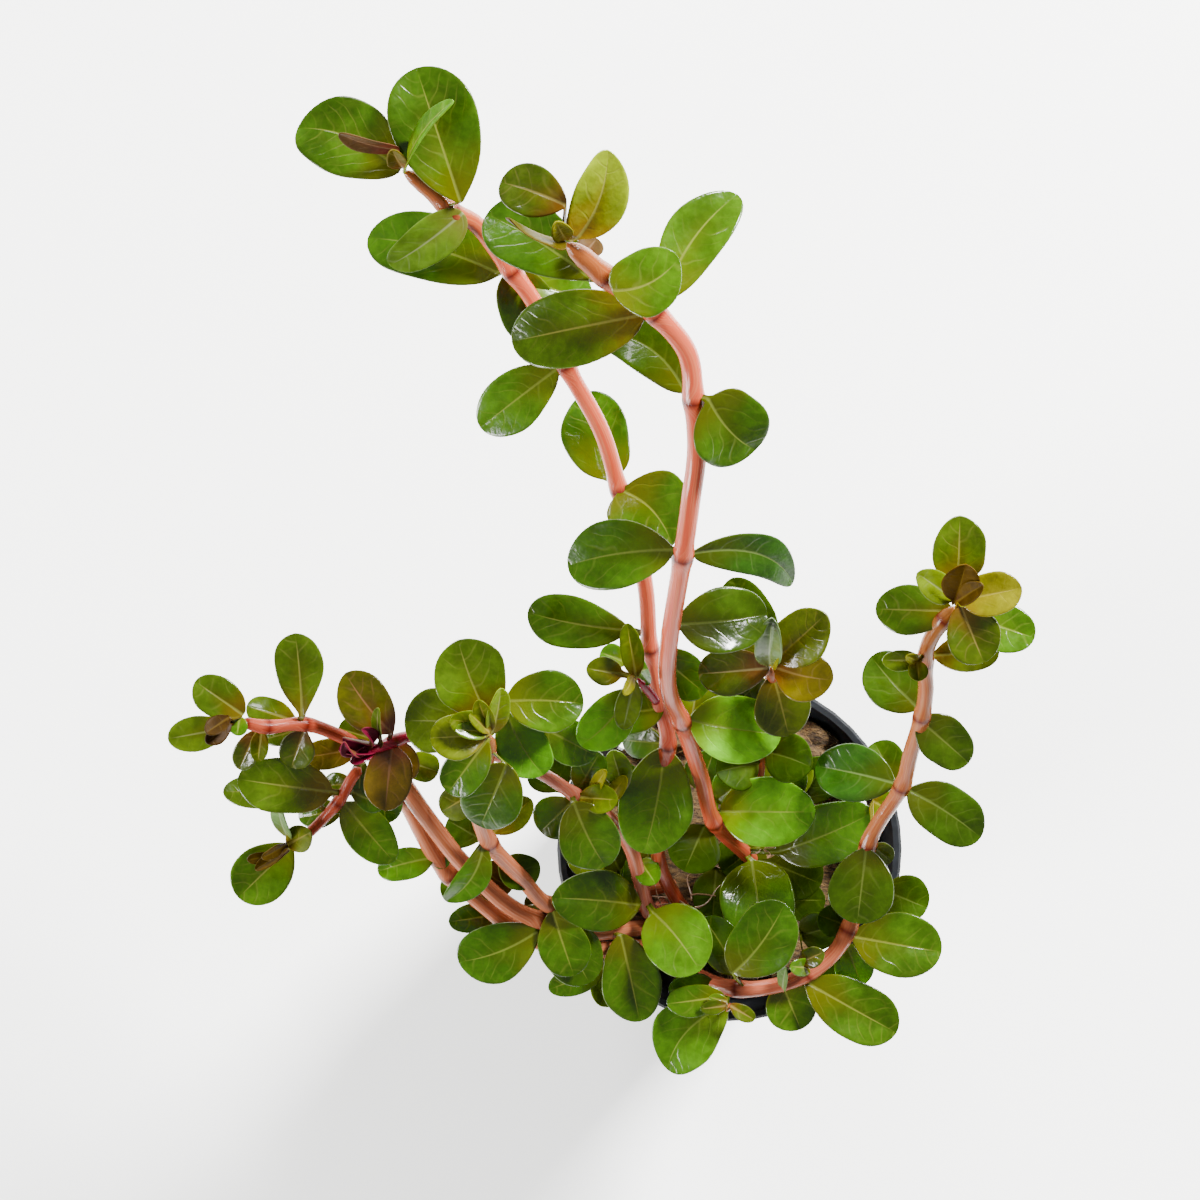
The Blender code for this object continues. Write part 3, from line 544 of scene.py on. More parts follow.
smallLeaves = {"long_left": [
    (404, 171, 70, 454, 100, 80, 4.2, "lime", 0.1, 0.42, 0, 58, 0.08),
    (398, 150, 72, 338, 134, 76, 3.6, "purple", 0.1, 0.46, 0, 66),
    (402, 168, 70, 392, 150, 76, 2.6, "brown", 0.2, 0.5, 0, 20),
    (464, 212, 67, 389, 266, 63, 6.4, "grey", 0.1, 0.45, 0, 30, 0.08),
    (655, 652, 30, 706, 694, 25, 6.4, "deep", 0.06, 0.52), (664, 743, 19, 622, 740, 14, 5, "deep", 0.06, 0.52),
], "long_right": [
    (564, 243, 89, 508, 219, 95, 6, "umber", 0.1, 0.45, 0, 104, 0.04),
    (566, 240, 89, 556, 222, 95, 2.6, "yellow", 0.2, 0.5, 0, 10), (583, 256, 84, 597, 238, 82, 3.4, "purple"),
    (664, 708, 27, 600, 716, 23, 6.2, "green"), (704, 826, 7, 684, 872, 9, 8, "dark", 0.06, 0.52),
], "crown": [
    (760, 660, 33, 732, 577, 38, 8, "dark"), (770, 666, 37, 772, 617, 46, 3.8, "sheen", 0.5, 0.55, 0, 14, 0.1),
    (772, 668, 37, 779, 640, 44, 2.4, "yellow", 0.24, 0.5, 0, 40), (762, 678, 29, 735, 706, 25, 6.4, "dark"),
    (766, 752, 11, 812, 768, 16, 7.4, "dark", 0.06, 0.55, -0.04),
    (768, 764, 8, 804, 792, 12, 6.4, "deep", 0.06, 0.52), (758, 762, 9, 716, 772, 13, 7, "dark"),
], "left_upper": [
    (232, 727, 45, 167, 739, 44, 4.8, "pale", 0.08, 0.55),
    (231, 722, 48, 206, 743, 50, 2.6, "darkbrown", 0.16, 0.55, 0, 20),
    (230, 717, 49, 206, 733, 52, 2.6, "darkbrown", 0.16, 0.6, 0, -10),
    (240, 716, 47, 237, 736, 47, 2.6, "bright", 0.06, 0.55), (294, 720, 40, 246, 706, 37, 4.4, "olivegreen"),
    (300, 729, 39, 263, 740, 37, 3, "olivegreen"), (304, 731, 40, 291, 768, 37, 5, "brownolive", 0.06, 0.52),
    (256, 732, 42, 239, 770, 39, 3.6, "brownolive"), (261, 731, 43, 258, 762, 41, 2.6, "olive"),
], "left_lower": [
    (300, 790, 33, 222, 792, 31, 4.8, "olivegreen"), (342, 809, 30, 298, 818, 27, 4, "green"),
    (352, 783, 33, 324, 786, 31, 3.6, "deepolive"),
    (288, 838, 30, 277, 801, 37, 3.2, "sheen", 0.1, 0.45, 0, 42),
    (287, 845, 30, 311, 832, 33, 4, "olive", 0.1, 0.55),
    (284, 846, 30, 262, 858, 33, 1.8, "umber", 0.16, 0.5, 0, 30),
    (284, 852, 29, 255, 870, 31, 1.9, "umber", 0.16, 0.5, 0, -25),
    (270, 856, 29, 247, 860, 30, 1.6, "umber", 0.16), (361, 759, 34, 359, 798, 31, 3.2, "green", 0.1, 0.55),
    (352, 792, 32, 385, 806, 30, 3.4, "green", 0.1, 0.55),
], "left_main": [
    (362, 748, 36, 302, 758, 34, 4.4, "brown", 0.06, 0.58),
    (380, 770, 31, 386, 824, 28, 5.6, "green", 0.06, 0.55),
    (404, 760, 33, 439, 772, 31, 4.4, "pale", 0.06, 0.55),
    (372, 738, 38, 338, 728, 36, 4.2, "olivegreen", 0.06, 0.55),
    (553, 917, 6.5, 590, 984, 5.5, 8.6, "deep", 0.06, 0.55), (604, 968, 1, 548, 990, 0, 4.6, "green"),
    (600, 925, 3, 620, 885, 5, 6, "bright"),
], "left_second": [
    (433, 858, 18, 377, 872, 16, 4.8, "bright", 0.1, 0.5, 0.03, 0, 0.06),
    (436, 852, 17.5, 446, 868, 17, 2.6, "green", 0.1), (470, 892, 11, 440, 884, 10, 4.4, "dark", 0.1),
], "middle": [
    (487, 735, 48, 429, 738, 50, 6.4, "brightolive", 0.1, 0.6, 0, 0, 0.12),
    (489, 732, 49.5, 450, 719, 52, 3.8, "olive", 0.1, 0.55, 0.06, 8, 0.06),
    (490, 733, 50, 455, 729, 52, 2.4, "olivegreen", 0.1, 0.5, 0, -10),
    (492, 734, 49, 501, 688, 54, 3.6, "pale", 0.1, 0.48, 0, -36),
    (490, 730, 50, 478, 700, 54, 2.8, "olive", 0.1, 0.5, 0, 14),
    (490, 732, 50.5, 470, 714, 53, 2, "olive", 0.14, 0.5, 0, -14),
    (545, 728, 33, 596, 756, 30, 6.4, "bright", 0.06, 0.52), (478, 790, 31, 441, 812, 28, 5, "olive"),
    (494, 832, 24, 532, 799, 24, 4.4, "olive"), (480, 838, 21, 447, 820, 18, 5.6, "dark"),
    (484, 842, 25, 446, 902, 22, 5, "deep", 0.16, 0.56, -0.1, 24, 0.08),
    (500, 862, 18, 538, 880, 14, 5.6, "dark"), (480, 868, 14, 512, 890, 10, 6.6, "umber"),
    (550, 902, 8, 524, 906, 6, 3.6, "greybrown"), (640, 878, 0, 624, 866, 2, 4.6, "green"),
], "magenta": [
    (572, 801, 20, 540, 832, 17, 6.6, "green", 0.06, 0.52),
    (579, 797, 23, 618, 800, 25, 4.2, "olive", 0.1, 0.55),
    (578, 790, 21, 600, 752, 24, 5.2, "deep", 0.06, 0.55),
    (590, 800, 21, 606, 770, 26, 2.4, "yellow", 0.1, 0.55, 0, 40),
    (604, 806, 19, 626, 776, 23, 2.4, "yellow", 0.1, 0.55), (624, 790, 20, 612, 750, 24, 4, "pale", 0.06, 0.55),
    (640, 860, 6, 656, 884, 8, 4, "bright"), (606, 800, 16, 640, 770, 15, 7, "lime"),
], "magentaTip": [
    (396, 741, 39, 411, 781, 38, 4.2, "redbrown", 0.08),
    (381, 742, 43, 378, 708, 48, 2, "greybrown", 0.3, 0.5, 0, 50),
    (378, 745, 42, 342, 738, 44, 2.2, "maroon", 0.9, 0.46, 0.14, 55, 0.1),
    (376, 750, 42, 338, 750, 44, 2.4, "maroon", 0.8, 0.54, -0.12, -35, 0.14),
    (372, 752, 42, 350, 763, 44, 2, "maroon", 0.9, 0.52, 0.18, 20, 0.1),
    (368, 748, 43, 362, 729, 47, 1.8, "maroon", 0.9, 0.5, 0.1, -60, 0.14),
    (364, 752, 43, 344, 742, 47, 1.8, "maroon", 0.9, 0.5, -0.1, 60, 0.12),
], "shoot_magenta": [
    (636, 676, 41, 627, 623, 45, 3.2, "olive", 0.14), (622, 674, 41, 586, 668, 42, 3.9, "brightolive", 0.1),
    (626, 662, 38, 600, 652, 36, 3.6, "bright"), (633, 676, 42, 624, 694, 45, 2, "yellow", 0.1, 0.5, 0, 40),
    (634, 680, 40, 623, 730, 38, 3.6, "greygreen", 0.1, 0.52),
    (632, 690, 36, 580, 746, 33, 6.8, "sunlit", 0.06, 0.55, -0.06),
    (634, 674, 39, 648, 668, 37, 4.6, "green", 0.06, 0.52),
], "shoot_low": [
    (500, 914, 4, 448, 922, 6, 4.4, "green", 0.06, 0.55), (478, 905, 6, 498, 892, 4, 5, "green"),
], "right": [
    (736, 974, 3, 703, 917, 5, 6.6, "deep", 0.06, 0.55, 0.03), (716, 986, 2, 668, 990, 2, 4.6, "deep"),
    (781, 982, 3, 801, 1030, 2, 7.6, "green"), (812, 968, 7, 790, 966, 10, 2.8, "green", 0.1),
    (800, 962, 8, 824, 952, 10, 3.2, "brownolive", 0.1),
    (783, 990, 6, 786, 968, 9, 2.2, "sheen", 0.3, 0.5, 0, 50), (846, 945, 3, 862, 986, 2, 6, "sunlit"),
    (838, 958, 3, 818, 978, 2, 4.6, "deep"), (846, 925, 5, 818, 915, 6, 5, "dark"),
    (884, 890, 6, 928, 908, 5, 7.4, "dark"), (873, 846, 11, 892, 862, 11, 3.4, "greygreen", 0.1),
    (896, 782, 16, 874, 742, 14, 6, "dark", 0.06, 0.55),
    (921, 660, 42, 882, 660, 44, 3, "pale", 0.12, 0.55, 0, 12),
    (917, 661, 43, 919, 681, 44, 2.8, "olive", 0.12, 0.55),
    (918, 660, 43, 907, 656, 46, 1.6, "yellow", 0.2, 0.55, 0, 20),
    (934, 655, 39, 1000, 652, 42, 5.2, "brightolive", 0.08, 0.55),
    (954, 599, 50, 917, 573, 54, 4.2, "greygreen", 0.1, 0.52),
    (955, 601, 50.5, 966, 564, 56, 5.2, "umber", 0.24, 0.58),
    (957, 602, 51, 983, 585, 56, 2.8, "umber", 0.24, 0.55, 0, 20),
    (958, 600, 51, 970, 602, 53, 1.6, "yellow", 0.2, 0.55),
], "shoot_front": [
    (724, 996, 6, 666, 1004, 5, 4.8, "green", 0.08, 0.52),
    (727, 1005, 7, 700, 1009, 7, 2.2, "brownolive", 0.12, 0.5, 0, 10),
    (730, 1005, 7, 755, 1020, 6, 2.4, "brownolive", 0.12, 0.55),
    (727, 1001, 7, 709, 997, 7, 1.6, "olivegreen", 0.12),
# fill: leaves low under the others; the dark-toned ones are partly real leaves, partly painted shade in the
# dark gaps
], "fill": [
    (762, 842, -3, 722, 872, -3, 8, "dark", 0.05), (770, 862, -2, 822, 884, -1, 8.6, "dark", 0.05),
    (778, 900, -4, 826, 900, -2, 6.4, "dark", 0.05), (800, 935, -3, 836, 926, 0, 6, "dark", 0.05),
    (716, 868, -4, 712, 926, -2, 6.6, "dark", 0.05), (770, 796, 0, 806, 752, 3, 7.6, "greygreen", 0.05),
    (800, 800, 0, 828, 758, 4, 7, "dark", 0.05), (700, 790, 2, 714, 750, 6, 6.6, "green", 0.05),
    (716, 800, 4, 750, 774, 8, 6.2, "sunlit", 0.05), (690, 730, 12, 700, 668, 16, 7, "pale", 0.05),
    (620, 870, 0, 600, 830, 4, 7, "dark", 0.05), (596, 838, 2, 578, 876, 4, 6.4, "greygreen", 0.05),
    (650, 850, 2, 632, 890, 2, 5.4, "green", 0.05), (872, 800, 8, 892, 812, 9, 5, "deepolive", 0.05),
    (560, 790, 16, 540, 752, 20, 7, "dark", 0.05), (612, 980, -1, 600, 1006, 1, 5, "pale", 0.05),
]}


# stems
stemMake = {"sides": 20, "step": 0.8, "swell": 0.20, "swellReach": 1.5, "collar": 0.50,
            "ribs": 0.016, "ribCount": 7, "ribTwist": 0.02, "budShare": 0.42, "budReach": 3.4}
stemLook = {"rough": 0.17, "wet": 0.04, "coatRough": 0.03, "shine": 0.05, "lessBlue": 0.06, "brighter": 1.24,
            "shadedBrighter": 1.16, "tipBrighter": 1.2, "nodeTint": "7c1c12", "nodeShow": 0.95,
            "budTint": "a86a34", "budShow": 0.72, "bump": 0.25, "bumpDepth": 0.0004}

# thickness at foot and tip in mm, skin, route; a fourth 1 marks a node
stems = {
    "stem_long_left": (2.1, 2.3, "salmon", [
        (697, 925, -7), (676, 898, -1), (659, 860, 6), (656, 800, 14), (668, 745, 21, 1), (659, 700, 27),
        (650, 648, 33, 1), (644, 577, 40), (619, 489, 48, 1), (601, 430, 52), (566, 366, 56, 1), (535, 304, 59),
        (512, 272, 61, 1), (478, 226, 64), (452, 212, 66, 1), (428, 188, 67), (402, 170, 69)]),
    "stem_long_right": (2.2, 2.6, "salmon", [
        (760, 868, -7), (745, 853, -1), (714, 822, 8, 1), (702, 780, 17), (696, 762, 21), (682, 722, 30, 1),
        (669, 690, 38), (669, 644, 47), (683, 556, 60, 1), (691, 500, 66), (697, 450, 70), (694, 400, 74, 1),
        (687, 352, 77), (655, 313, 80, 1), (632, 296, 82), (605, 276, 84, 1), (584, 258, 86), (565, 242, 88)]),
    "stem_crown": (1.9, 1.9, "salmon", [
        (764, 800, -7), (762, 775, 2), (764, 745, 12, 1), (770, 712, 22), (772, 690, 29, 1), (771, 667, 35)]),
    "stem_left_main": (2.3, 2.6, "russet", [
        (680, 920, -7), (655, 926, -4.8), (628, 929, 0.5), (590, 932, 4.5), (541, 921, 8, 1), (504, 902, 12),
        (460, 860, 19), (425, 815, 26), (400, 780, 31), (372, 752, 36, 1)]),
    "stem_left_upper": (1.9, 1.6, "rose", [
        (359, 746, 37), (338, 735, 39), (305, 724, 42, 1), (268, 727, 44, 1), (246, 723, 45, 1),
        (235, 722, 46)]),
    "stem_left_lower": (1.6, 1.4, "rose", [
        (361, 767, 35.6), (352, 778, 35), (338, 802, 33, 1), (311, 831, 30), (290, 846, 28, 1)]),
    "stem_left_second": (2.4, 2.6, "russet", [
        (672, 944, -7), (642, 946, -4.4), (600, 950, 2.2), (556, 948, 3.2), (510, 925, 6), (475, 897, 10.5),
        (449, 874, 14.5, 1), (430, 846, 18.5), (404, 795, 25.5, 1), (391, 774, 28)]),
    "stem_middle": (2.1, 2.4, "russet", [
        (676, 884, -7), (640, 890, -2), (600, 896, 3), (551, 905, 9, 1), (520, 876, 16), (489, 842, 24, 1),
        (478, 808, 32), (484, 770, 37.5, 1), (490, 735, 45.2)]),
    "stem_magenta": (2.3, 1.5, "magenta", [
        (664, 903, -7), (650, 912, 0.5, 1), (640, 880, 5), (629, 845, 11), (606, 815, 17), (577, 796, 22, 1),
        (531, 768, 28), (470, 748, 34), (418, 737, 39), (394, 741, 41, 1), (367, 754, 43)]),
    "stem_right": (2.3, 2.1, "tan", [
        (682, 958, -7), (700, 977, -1), (738, 989, 4, 1), (778, 985, 5), (808, 973, 6, 1), (832, 955, 7),
        (848, 930, 8, 1), (858, 895, 9), (868, 845, 12, 1), (880, 820, 15), (902, 786, 20, 1), (911, 752, 26),
        (922, 716, 32, 1), (926, 690, 36), (925, 662, 40, 1), (930, 640, 44), (945, 618, 47, 1),
        (955, 606, 49)]),
    "shoot_magenta": (1.3, 1.2, "crimson", [
        (658, 704, 33.6), (650, 693, 36), (637, 678, 40)]),
    "shoot_low": (1.6, 1.2, "russet", [
        (511, 926, 2), (492, 916, 3), (476, 905, 5), (468, 893, 8)]),
    "shoot_front": (1.2, 1.1, "tan", [
        (734, 1003, 4.3), (730, 1006, 5), (726, 1012, 7)]),
}

# light, middle and shaded colours of each skin: the light colour is partly a painted highlight streak, the
# shaded colour painted shade
skins = {
    "salmon": ("ff8862", "f45e40", "cc4e32"),
    "russet": ("ea9470", "d8744e", "b05438"),
    "magenta": ("fca086", "ee7a60", "c05a42"),
    "tan": ("ec8c6c", "d8664a", "ac4a32"),
    "amber": ("de8c58", "ca6a40", "a04a2a"),
    "crimson": ("d42c50", "a81030", "70081c"),
    "rose": ("d4684a", "bc4834", "8a2e20"),
}
# the skin further up, and where along the stem it begins and is full
skinChange = {"magenta": ("crimson", 0.66, 0.84), "tan": ("amber", 0.26, 0.40)}
skinWet = {"salmon": 0.16, "magenta": 0.12, "tan": 0.08, "rose": 0.0}     # others as in stemLook


def stemMaterial(name, skin):
    wet = skinWet.get(skin, stemLook["wet"])
    shine = stemLook["shine"] + wet
    material, tree, shader = newMaterial(name, stemLook["rough"], wet, stemLook["coatRough"], shine)
    reach = uvLayer(tree, "reach")
    along = separate(tree, uvLayer(tree, "blade"))["Y"]
    where = objectSpot(tree)
    collar = addNode(tree, "ShaderNodeAttribute", attribute_name="collar").outputs["Fac"]
    streaks = grain(tree, stretch(tree, reach, (4.6, 0.06, 1.0)), 1.0, 3.0)
    cloudy = grain(tree, where, 160.0, 3.0)
    flecks = grain(tree, stretch(tree, reach, (1.8, 0.7, 1.0)), 1.0, 2.0, 0.4)
    brighter = (stemLook["brighter"], stemLook["brighter"], stemLook["shadedBrighter"])
    litMiddleShaded = [paint(text, more, stemLook["lessBlue"]) for text, more in zip(skins[skin], brighter)]
    if skin in skinChange:
        tipSkin, begin, full = skinChange[skin]
        change = ease(tree, along, begin, full)
        litMiddleShaded = [blendColour(tree, change, one, paint(two, stemLook["tipBrighter"], stemLook["lessBlue"]))
                  for one, two in zip(litMiddleShaded, skins[tipSkin])]
    light, middle, paintedShade = litMiddleShaded
    # painted highlight: the light skin colour along lengthwise streaks, partly paler striations and partly
    # painted highlight streaks
    colour = blendColour(tree, ease(tree, streaks, 0.34, 0.74), middle, light)
    # painted shade: the shaded skin colour laid in cloudy patches and in flecks
    colour = blendColour(tree, ease(tree, cloudy, 0.52, 0.80, 0.0, 0.22), colour, paintedShade)
    colour = blendColour(tree, ease(tree, flecks, 0.72, 0.80, 0.0, 0.3), colour, paintedShade)
    if skin not in ("magenta", "crimson"):     # the others turn tan towards the bud
        bud = ease(tree, along, 0.87, 0.98, 0.0, stemLook["budShow"])
        colour = blendColour(tree, bud, colour, paint(stemLook["budTint"]))
    colour = blendColour(tree, times(tree, collar, stemLook["nodeShow"]), colour, paint(stemLook["nodeTint"]))
    tree.links.new(colour, shader.inputs["Base Color"])
    height = calc(tree, "ADD", streaks, times(tree, cloudy, 0.4))
    addBump(tree, shader, height, stemLook["bump"], stemLook["bumpDepth"])
    return material


skinMaterials = {name: stemMaterial("stem" + name.capitalize(), name) for name in skins}


def makeTube(name, route, radii, sides, material, collars=None, ribs=0.0, seed=1):
    rings = len(route)
    piece, column, line = gridPiece(name, sides, rings - 1)
    ahead = np.gradient(route, axis=0)
    ahead /= np.linalg.norm(ahead, axis=1)[:, None]
    across = np.zeros_like(route)
    last = np.array([0.0, 0.0, 1.0]) if abs(ahead[0][2]) < 0.95 else np.array([1.0, 0.0, 0.0])
    for i in range(rings):
        last = unit(last - ahead[i] * float(last @ ahead[i]))
        across[i] = last
    beside = np.cross(ahead, across)
    angle = 2 * np.pi * column / sides
    reachAlong = np.concatenate([[0.0], np.cumsum(np.linalg.norm(np.diff(route, axis=0), axis=1))])
    r = radii[line]
    turn = stemMake["ribCount"] * angle + stemMake["ribTwist"] * reachAlong[line] + seed
    bumpy = 1.0 + ribs * np.cos(turn)
    offset = across[line] * (np.cos(angle) * r * bumpy)[:, None]
    offset = offset + beside[line] * (np.sin(angle) * r * bumpy)[:, None]
    bladeUv = np.stack([column / sides, line / (rings - 1)], 1)
    reachUv = np.stack([angle * np.maximum(r, 0.2), reachAlong[line]], 1)
    writeGrid(piece, route[line] + offset, bladeUv, reachUv)
    layer = piece.data.attributes.new("collar", "FLOAT", "POINT")
    layer.data.foreach_set("value", (collars if collars is not None else np.zeros(rings))[line])
    piece.data.materials.append(material)
    tidyMesh(piece, outward=True)
    bpy.ops.object.shade_smooth()
    return piece


stemRoutes = {}
for stemNumber, (name, (footThick, tipThick, skin, points)) in enumerate(stems.items()):
    route = routeThrough(points, stemMake["step"])
    stemRoutes[name] = route
    part = np.linspace(0, 1, len(route))
    radii = 0.5 * (footThick + (tipThick - footThick) * part)
    collars = np.zeros(len(route))
    for point in points:
        if len(point) == 4:
            gap = np.linalg.norm(route - place(point), axis=1)
            radii *= 1 + stemMake["swell"] * np.exp(-(gap / stemMake["swellReach"]) ** 2)
            collars = np.maximum(collars, np.exp(-(gap / stemMake["collar"]) ** 2))
    if name not in ("stem_left_main", "stem_left_second"):     # the others thin out to a bud
        left = np.linalg.norm(route - route[-1], axis=1)
        share = stemMake["budShare"]
        radii *= share + (1 - share) * np.clip(left / stemMake["budReach"], 0, 1) ** 0.8
    radii[0] = 0.0       # both ends close to a point
    radii[-1] = 0.0
    radii[1] *= 0.9
    radii[-2] *= 0.72
    piece = makeTube(name + "_skin", route, radii, stemMake["sides"], skinMaterials[skin],
                     collars, stemMake["ribs"], stemNumber)
    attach(piece, "root")
    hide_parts(name)
allRoutes = np.concatenate(list(stemRoutes.values()))
print("stems made:", len(stems))

leafCount = 0
for group, rows in bigLeaves.items():
    for number, row in enumerate(rows, start=1):
        leafCount += 1
        tone, solid = row[7:9]
        node = "leaf_" + group + "_" + str(solid)
        name = "blade_" + group + "_" + str(number)
        piece = makeLeaf(name, row[:8] + row[9:], stemRoutes["stem_" + group], leafCount)
        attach(piece, "root")
        if solid:
            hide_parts(node)
print("large leaves made:", leafCount)

for group, rows in smallLeaves.items():
    stemName = group if group.startswith("shoot") else "stem_" + group.replace("magentaTip", "magenta")
    made = []
    for row in rows:
        leafCount += 1
        made.append(makeLeaf("young_" + group, row, stemRoutes.get(stemName, allRoutes), leafCount, True))
    piece = joinPieces(made, "young_leaves_" + group)
    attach(piece, "root")
print("small leaves made:", leafCount)


# pot and wool
potLook = {"colour": "2a2d35", "dust": "4e5460", "rough": 0.42, "shine": 0.16}
woolLook = {"light": "cc9c68", "dark": "5c4028", "thread": "b88c5c", "tuftHairs": 26, "looseHairs": 90,
            "hairHalf": 0.07, "reach": 19.0, "crown": 42.0, "dome": 0.0045}
rootLook = {"colour": "c89478", "half": 0.16}
potInside = {"radius": 0.0215, "flare": 0.35, "flareFrom": 0.0464, "top": 0.0503, "outside": 0.026}     # metres


def potMaterial():
    material, tree, shader = newMaterial("potPlastic", potLook["rough"], 0.0, 0.2, potLook["shine"])
    where = objectSpot(tree)
    dust = grain(tree, where, 500.0, 4.0)
    dusty = ease(tree, dust, 0.45, 0.75, 0.0, 0.35)
    colour = blendColour(tree, dusty, paint(potLook["colour"]), paint(potLook["dust"]))
    tree.links.new(colour, shader.inputs["Base Color"])
    addBump(tree, shader, dust, 0.15, 0.0003)
    return material


def woolMaterial():
    material, tree, shader = newMaterial("mineralWool", 0.95)
    where = objectSpot(tree)
    fibre = grain(tree, stretch(tree, where, (1.0, 3.0, 1.0)), 700.0, 5.0, 0.7)
    lumps = grain(tree, where, 200.0, 3.0)
    colour = blendColour(tree, ease(tree, fibre, 0.35, 0.7), paint(woolLook["dark"]), paint(woolLook["light"]))
    colour = blendColour(tree, ease(tree, lumps, 0.5, 0.8, 0.0, 0.6), colour, paint(woolLook["dark"]))
    tree.links.new(colour, shader.inputs["Base Color"])
    addBump(tree, shader, fibre, 0.9, 0.0012)
    return material


potPlastic = potMaterial()
woolFibre = woolMaterial()
for node, material in (("pot", potPlastic), ("wool_plug", woolFibre)):
    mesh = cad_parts[node].data
    mesh.materials.clear()
    mesh.materials.append(material)


def keepInside(points):     # nothing below the rim passes the pot's wall
    far = np.maximum(np.hypot(points[:, 0], points[:, 1]), 1e-9)
    limit = potInside["radius"] + potInside["flare"] * np.maximum(points[:, 2] - potInside["flareFrom"], 0.0)
    passes = (far > limit) & (points[:, 2] < potInside["top"]) & (far < potInside["outside"])
    shrink = np.where(passes, limit / far, 1.0)
    points[:, :2] *= shrink[:, None]
    return points


def mat(name, centre, size, seed, material):
    rng = random.Random(seed)
    bpy.ops.mesh.primitive_ico_sphere_add(subdivisions=4, radius=1)
    piece = bpy.context.object
    piece.name = name
    waves = [(np.array([rng.uniform(-1, 1) for _ in range(3)]) * rng.uniform(3, 9), rng.uniform(0, 6.28),
              rng.uniform(0.03, 0.09)) for _ in range(9)]
    spots = np.empty(len(piece.data.vertices) * 3)
    piece.data.vertices.foreach_get("co", spots)
    spots = spots.reshape(-1, 3)
    lump = 1 + sum(depth * np.sin(spots @ run + turn) for run, turn, depth in waves)
    spots = keepInside((spots * lump[:, None] * np.array(size) + np.array(centre)) * mm)
    piece.data.vertices.foreach_set("co", spots.ravel())
    piece.data.update()
    piece.data.materials.append(material)
    bpy.ops.object.shade_smooth()
    return piece


def threads(name, starts, sides, half, material, seed):     # starts: place, heading, length, droop
    rng = random.Random(seed)
    made = []
    for number, (spot, heading, length, droop) in enumerate(starts):
        heading = unit(np.array(heading, dtype=float))
        bendAside = unit(np.array([rng.uniform(-1, 1), rng.uniform(-1, 1), rng.uniform(-0.4, 0.4)]))
        part = np.linspace(0, 1, 9)[:, None]
        sway = np.sin(part * rng.uniform(2.5, 5.5) + rng.uniform(0, 3))
        route = np.array(spot) + heading * length * part + bendAside * length * 0.16 * (sway - sway[0])
        route = keepInside((route - np.array([0, 0, 1.0]) * droop * part ** 2) * mm) / mm
        radii = half * (1 - 0.75 * part[:, 0])
        radii[-1] = 0.0
        made.append(makeTube(name + str(number), route, radii, sides, material))
    return joinPieces(made, name)


# centre and half size of each tuft in mm, over the pot's own axis
tufts = {
    "wool_tuft_back": ((12.0, 15.2, 44.6), (5.2, 4.0, 3.8)),
    "wool_tuft_right": ((19.2, 0.6, 43.0), (2.4, 4.6, 3.4)),
    "wool_tuft_left": ((-19.3, -1.2, 43.6), (2.3, 4.2, 4.0)),
    "wool_tuft_front_left": ((-13.8, -11.4, 43.0), (3.8, 3.6, 3.4)),
    "wool_tuft_front": ((2.0, -18.2, 42.6), (5.4, 2.6, 2.8)),
    "wool_tuft_back_left": ((-6.6, 16.8, 42.4), (6.0, 2.8, 2.8)),
}
woolRandom = random.Random(77)
for tuftNumber, (name, (centre, size)) in enumerate(tufts.items()):
    piece = mat(name, centre, size, 30 + tuftNumber, woolFibre)
    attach(piece, "root")

hairs = []
for centre, size in tufts.values():
    for _ in range(woolLook["tuftHairs"]):
        around = woolRandom.uniform(0, 6.28)
        level = woolRandom.uniform(0.25, 1.0)
        flat = math.sqrt(1 - level * level)
        normal = np.array([math.cos(around) * flat, math.sin(around) * flat, level])
        spot = np.array(centre) + normal * np.array(size) * 0.94
        swirl = np.array([woolRandom.uniform(-1, 1), woolRandom.uniform(-1, 1), woolRandom.uniform(-0.2, 0.3)])
        hairs.append((spot, normal * 0.35 + swirl, woolRandom.uniform(1.6, 3.6), woolRandom.uniform(0.2, 1.0)))
for _ in range(woolLook["looseHairs"]):
    around, far = woolRandom.uniform(0, 6.28), woolLook["reach"] * math.sqrt(woolRandom.random())
    level = woolLook["crown"] - woolLook["dome"] * far * far
    spot = np.array([far * math.cos(around), far * math.sin(around), level])
    heading = np.array([woolRandom.uniform(-1, 1), woolRandom.uniform(-1, 1), woolRandom.uniform(0.05, 0.5)])
    hairs.append((spot, heading, woolRandom.uniform(2.0, 5.0), woolRandom.uniform(0.3, 1.4)))
threadPaint = plainMaterial("woolThread", paint(woolLook["thread"]), 0.8)
fuzz = threads("wool_fibres", hairs, 4, woolLook["hairHalf"], threadPaint, 5)
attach(fuzz, "root")

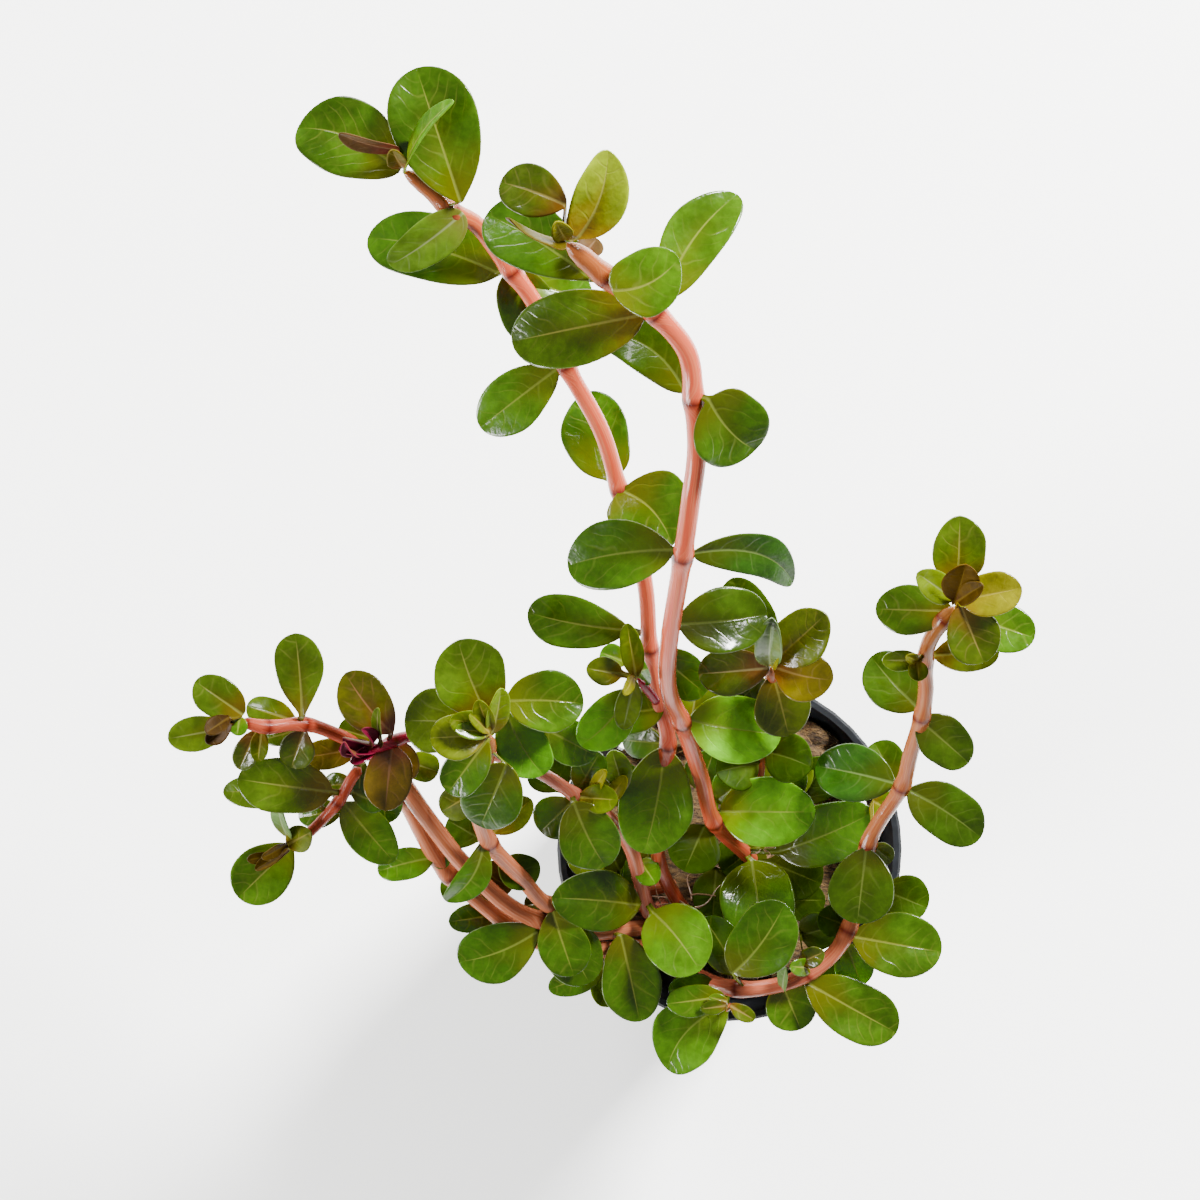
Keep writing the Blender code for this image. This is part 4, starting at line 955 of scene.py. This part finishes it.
rootPaint = plainMaterial("rootSkin", paint(rootLook["colour"]), 0.4, 0.2)
rootSpots = ((690, 902, 0, 9), (632, 938, 1, 8), (668, 930, -2, 8), (752, 868, -3, 5), (738, 992, 2, 4))
rootStarts = []
for column, row, height, count in rootSpots:
    for _ in range(count):
        spot = place((column + woolRandom.uniform(-12, 12), row + woolRandom.uniform(-9, 9), height))
        heading = (woolRandom.uniform(-1, 1), woolRandom.uniform(-1, 1), woolRandom.uniform(-0.6, 0.15))
        rootStarts.append((spot, heading, woolRandom.uniform(3.5, 7.5), woolRandom.uniform(0.5, 2.5)))
for start, end in (((756, 853, 5), (765, 849, 6)), ((764, 849, 6), (773, 858, 5.5))):     # white hook at a node
    way = place(end) - place(start)
    rootStarts.append((place(start), way, float(np.linalg.norm(way)), 0.0))
roots = threads("root_threads", rootStarts, 5, rootLook["half"], rootPaint, 6)
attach(roots, "root")
print("pot and wool finished")


# studio
studio = {"floor": 3.0, "floorColour": "fafaf8", "floorGlow": 0.40, "world": 0.58, "aim": (-0.02, 0.03, 0.08)}
white = (1.0, 1.0, 1.0, 1.0)
# watts, size and place in metres
lights = {"keyLight": (54.0, 0.20, (0.50, 0.54, 0.58)),
          "fillLight": (36.0, 0.40, (-0.95, -0.42, 0.33)),
          "backLight": (20.0, 0.40, (-0.30, 1.05, 0.34))}

bpy.ops.mesh.primitive_plane_add(size=studio["floor"])
floor = bpy.context.object
floor.name = "floor"
floorPaint = plainMaterial("floorPaint", hexColour(studio["floorColour"]), 0.9)
floorShader = floorPaint.node_tree.nodes["Principled BSDF"]
floorShader.inputs["Emission Color"].default_value = white
floorShader.inputs["Emission Strength"].default_value = studio["floorGlow"]
floor.data.materials.append(floorPaint)

world = bpy.data.worlds.new("studioLight")
world.use_nodes = True
world.node_tree.nodes["Background"].inputs[0].default_value = white
world.node_tree.nodes["Background"].inputs[1].default_value = studio["world"]
bpy.context.scene.world = world

for name, (power, size, spot) in lights.items():
    lamp = bpy.data.lights.new(name, "AREA")
    lamp.energy = power
    lamp.size = size
    holder = bpy.data.objects.new(name, lamp)
    holder.location = spot
    away = np.array(spot) - np.array(studio["aim"])
    holder.rotation_euler = (math.atan2(math.hypot(away[0], away[1]), away[2]), 0.0,
                             math.atan2(away[0], -away[1]))
    bpy.context.scene.collection.objects.link(holder)

cameraData = bpy.data.cameras.new("camera")
cameraData.sensor_width = view["sensor"]
cameraData.lens = view["sensor"] * view["eyeHeight"] / (view["frame"] * view["mmPerStep"])
camera = bpy.data.objects.new("camera", cameraData)
camera.location = (view["eyeX"] * mm, view["eyeY"] * mm, (view["rimHeight"] + view["eyeHeight"]) * mm)
bpy.context.scene.collection.objects.link(camera)
bpy.context.scene.camera = camera
print("studio ready")
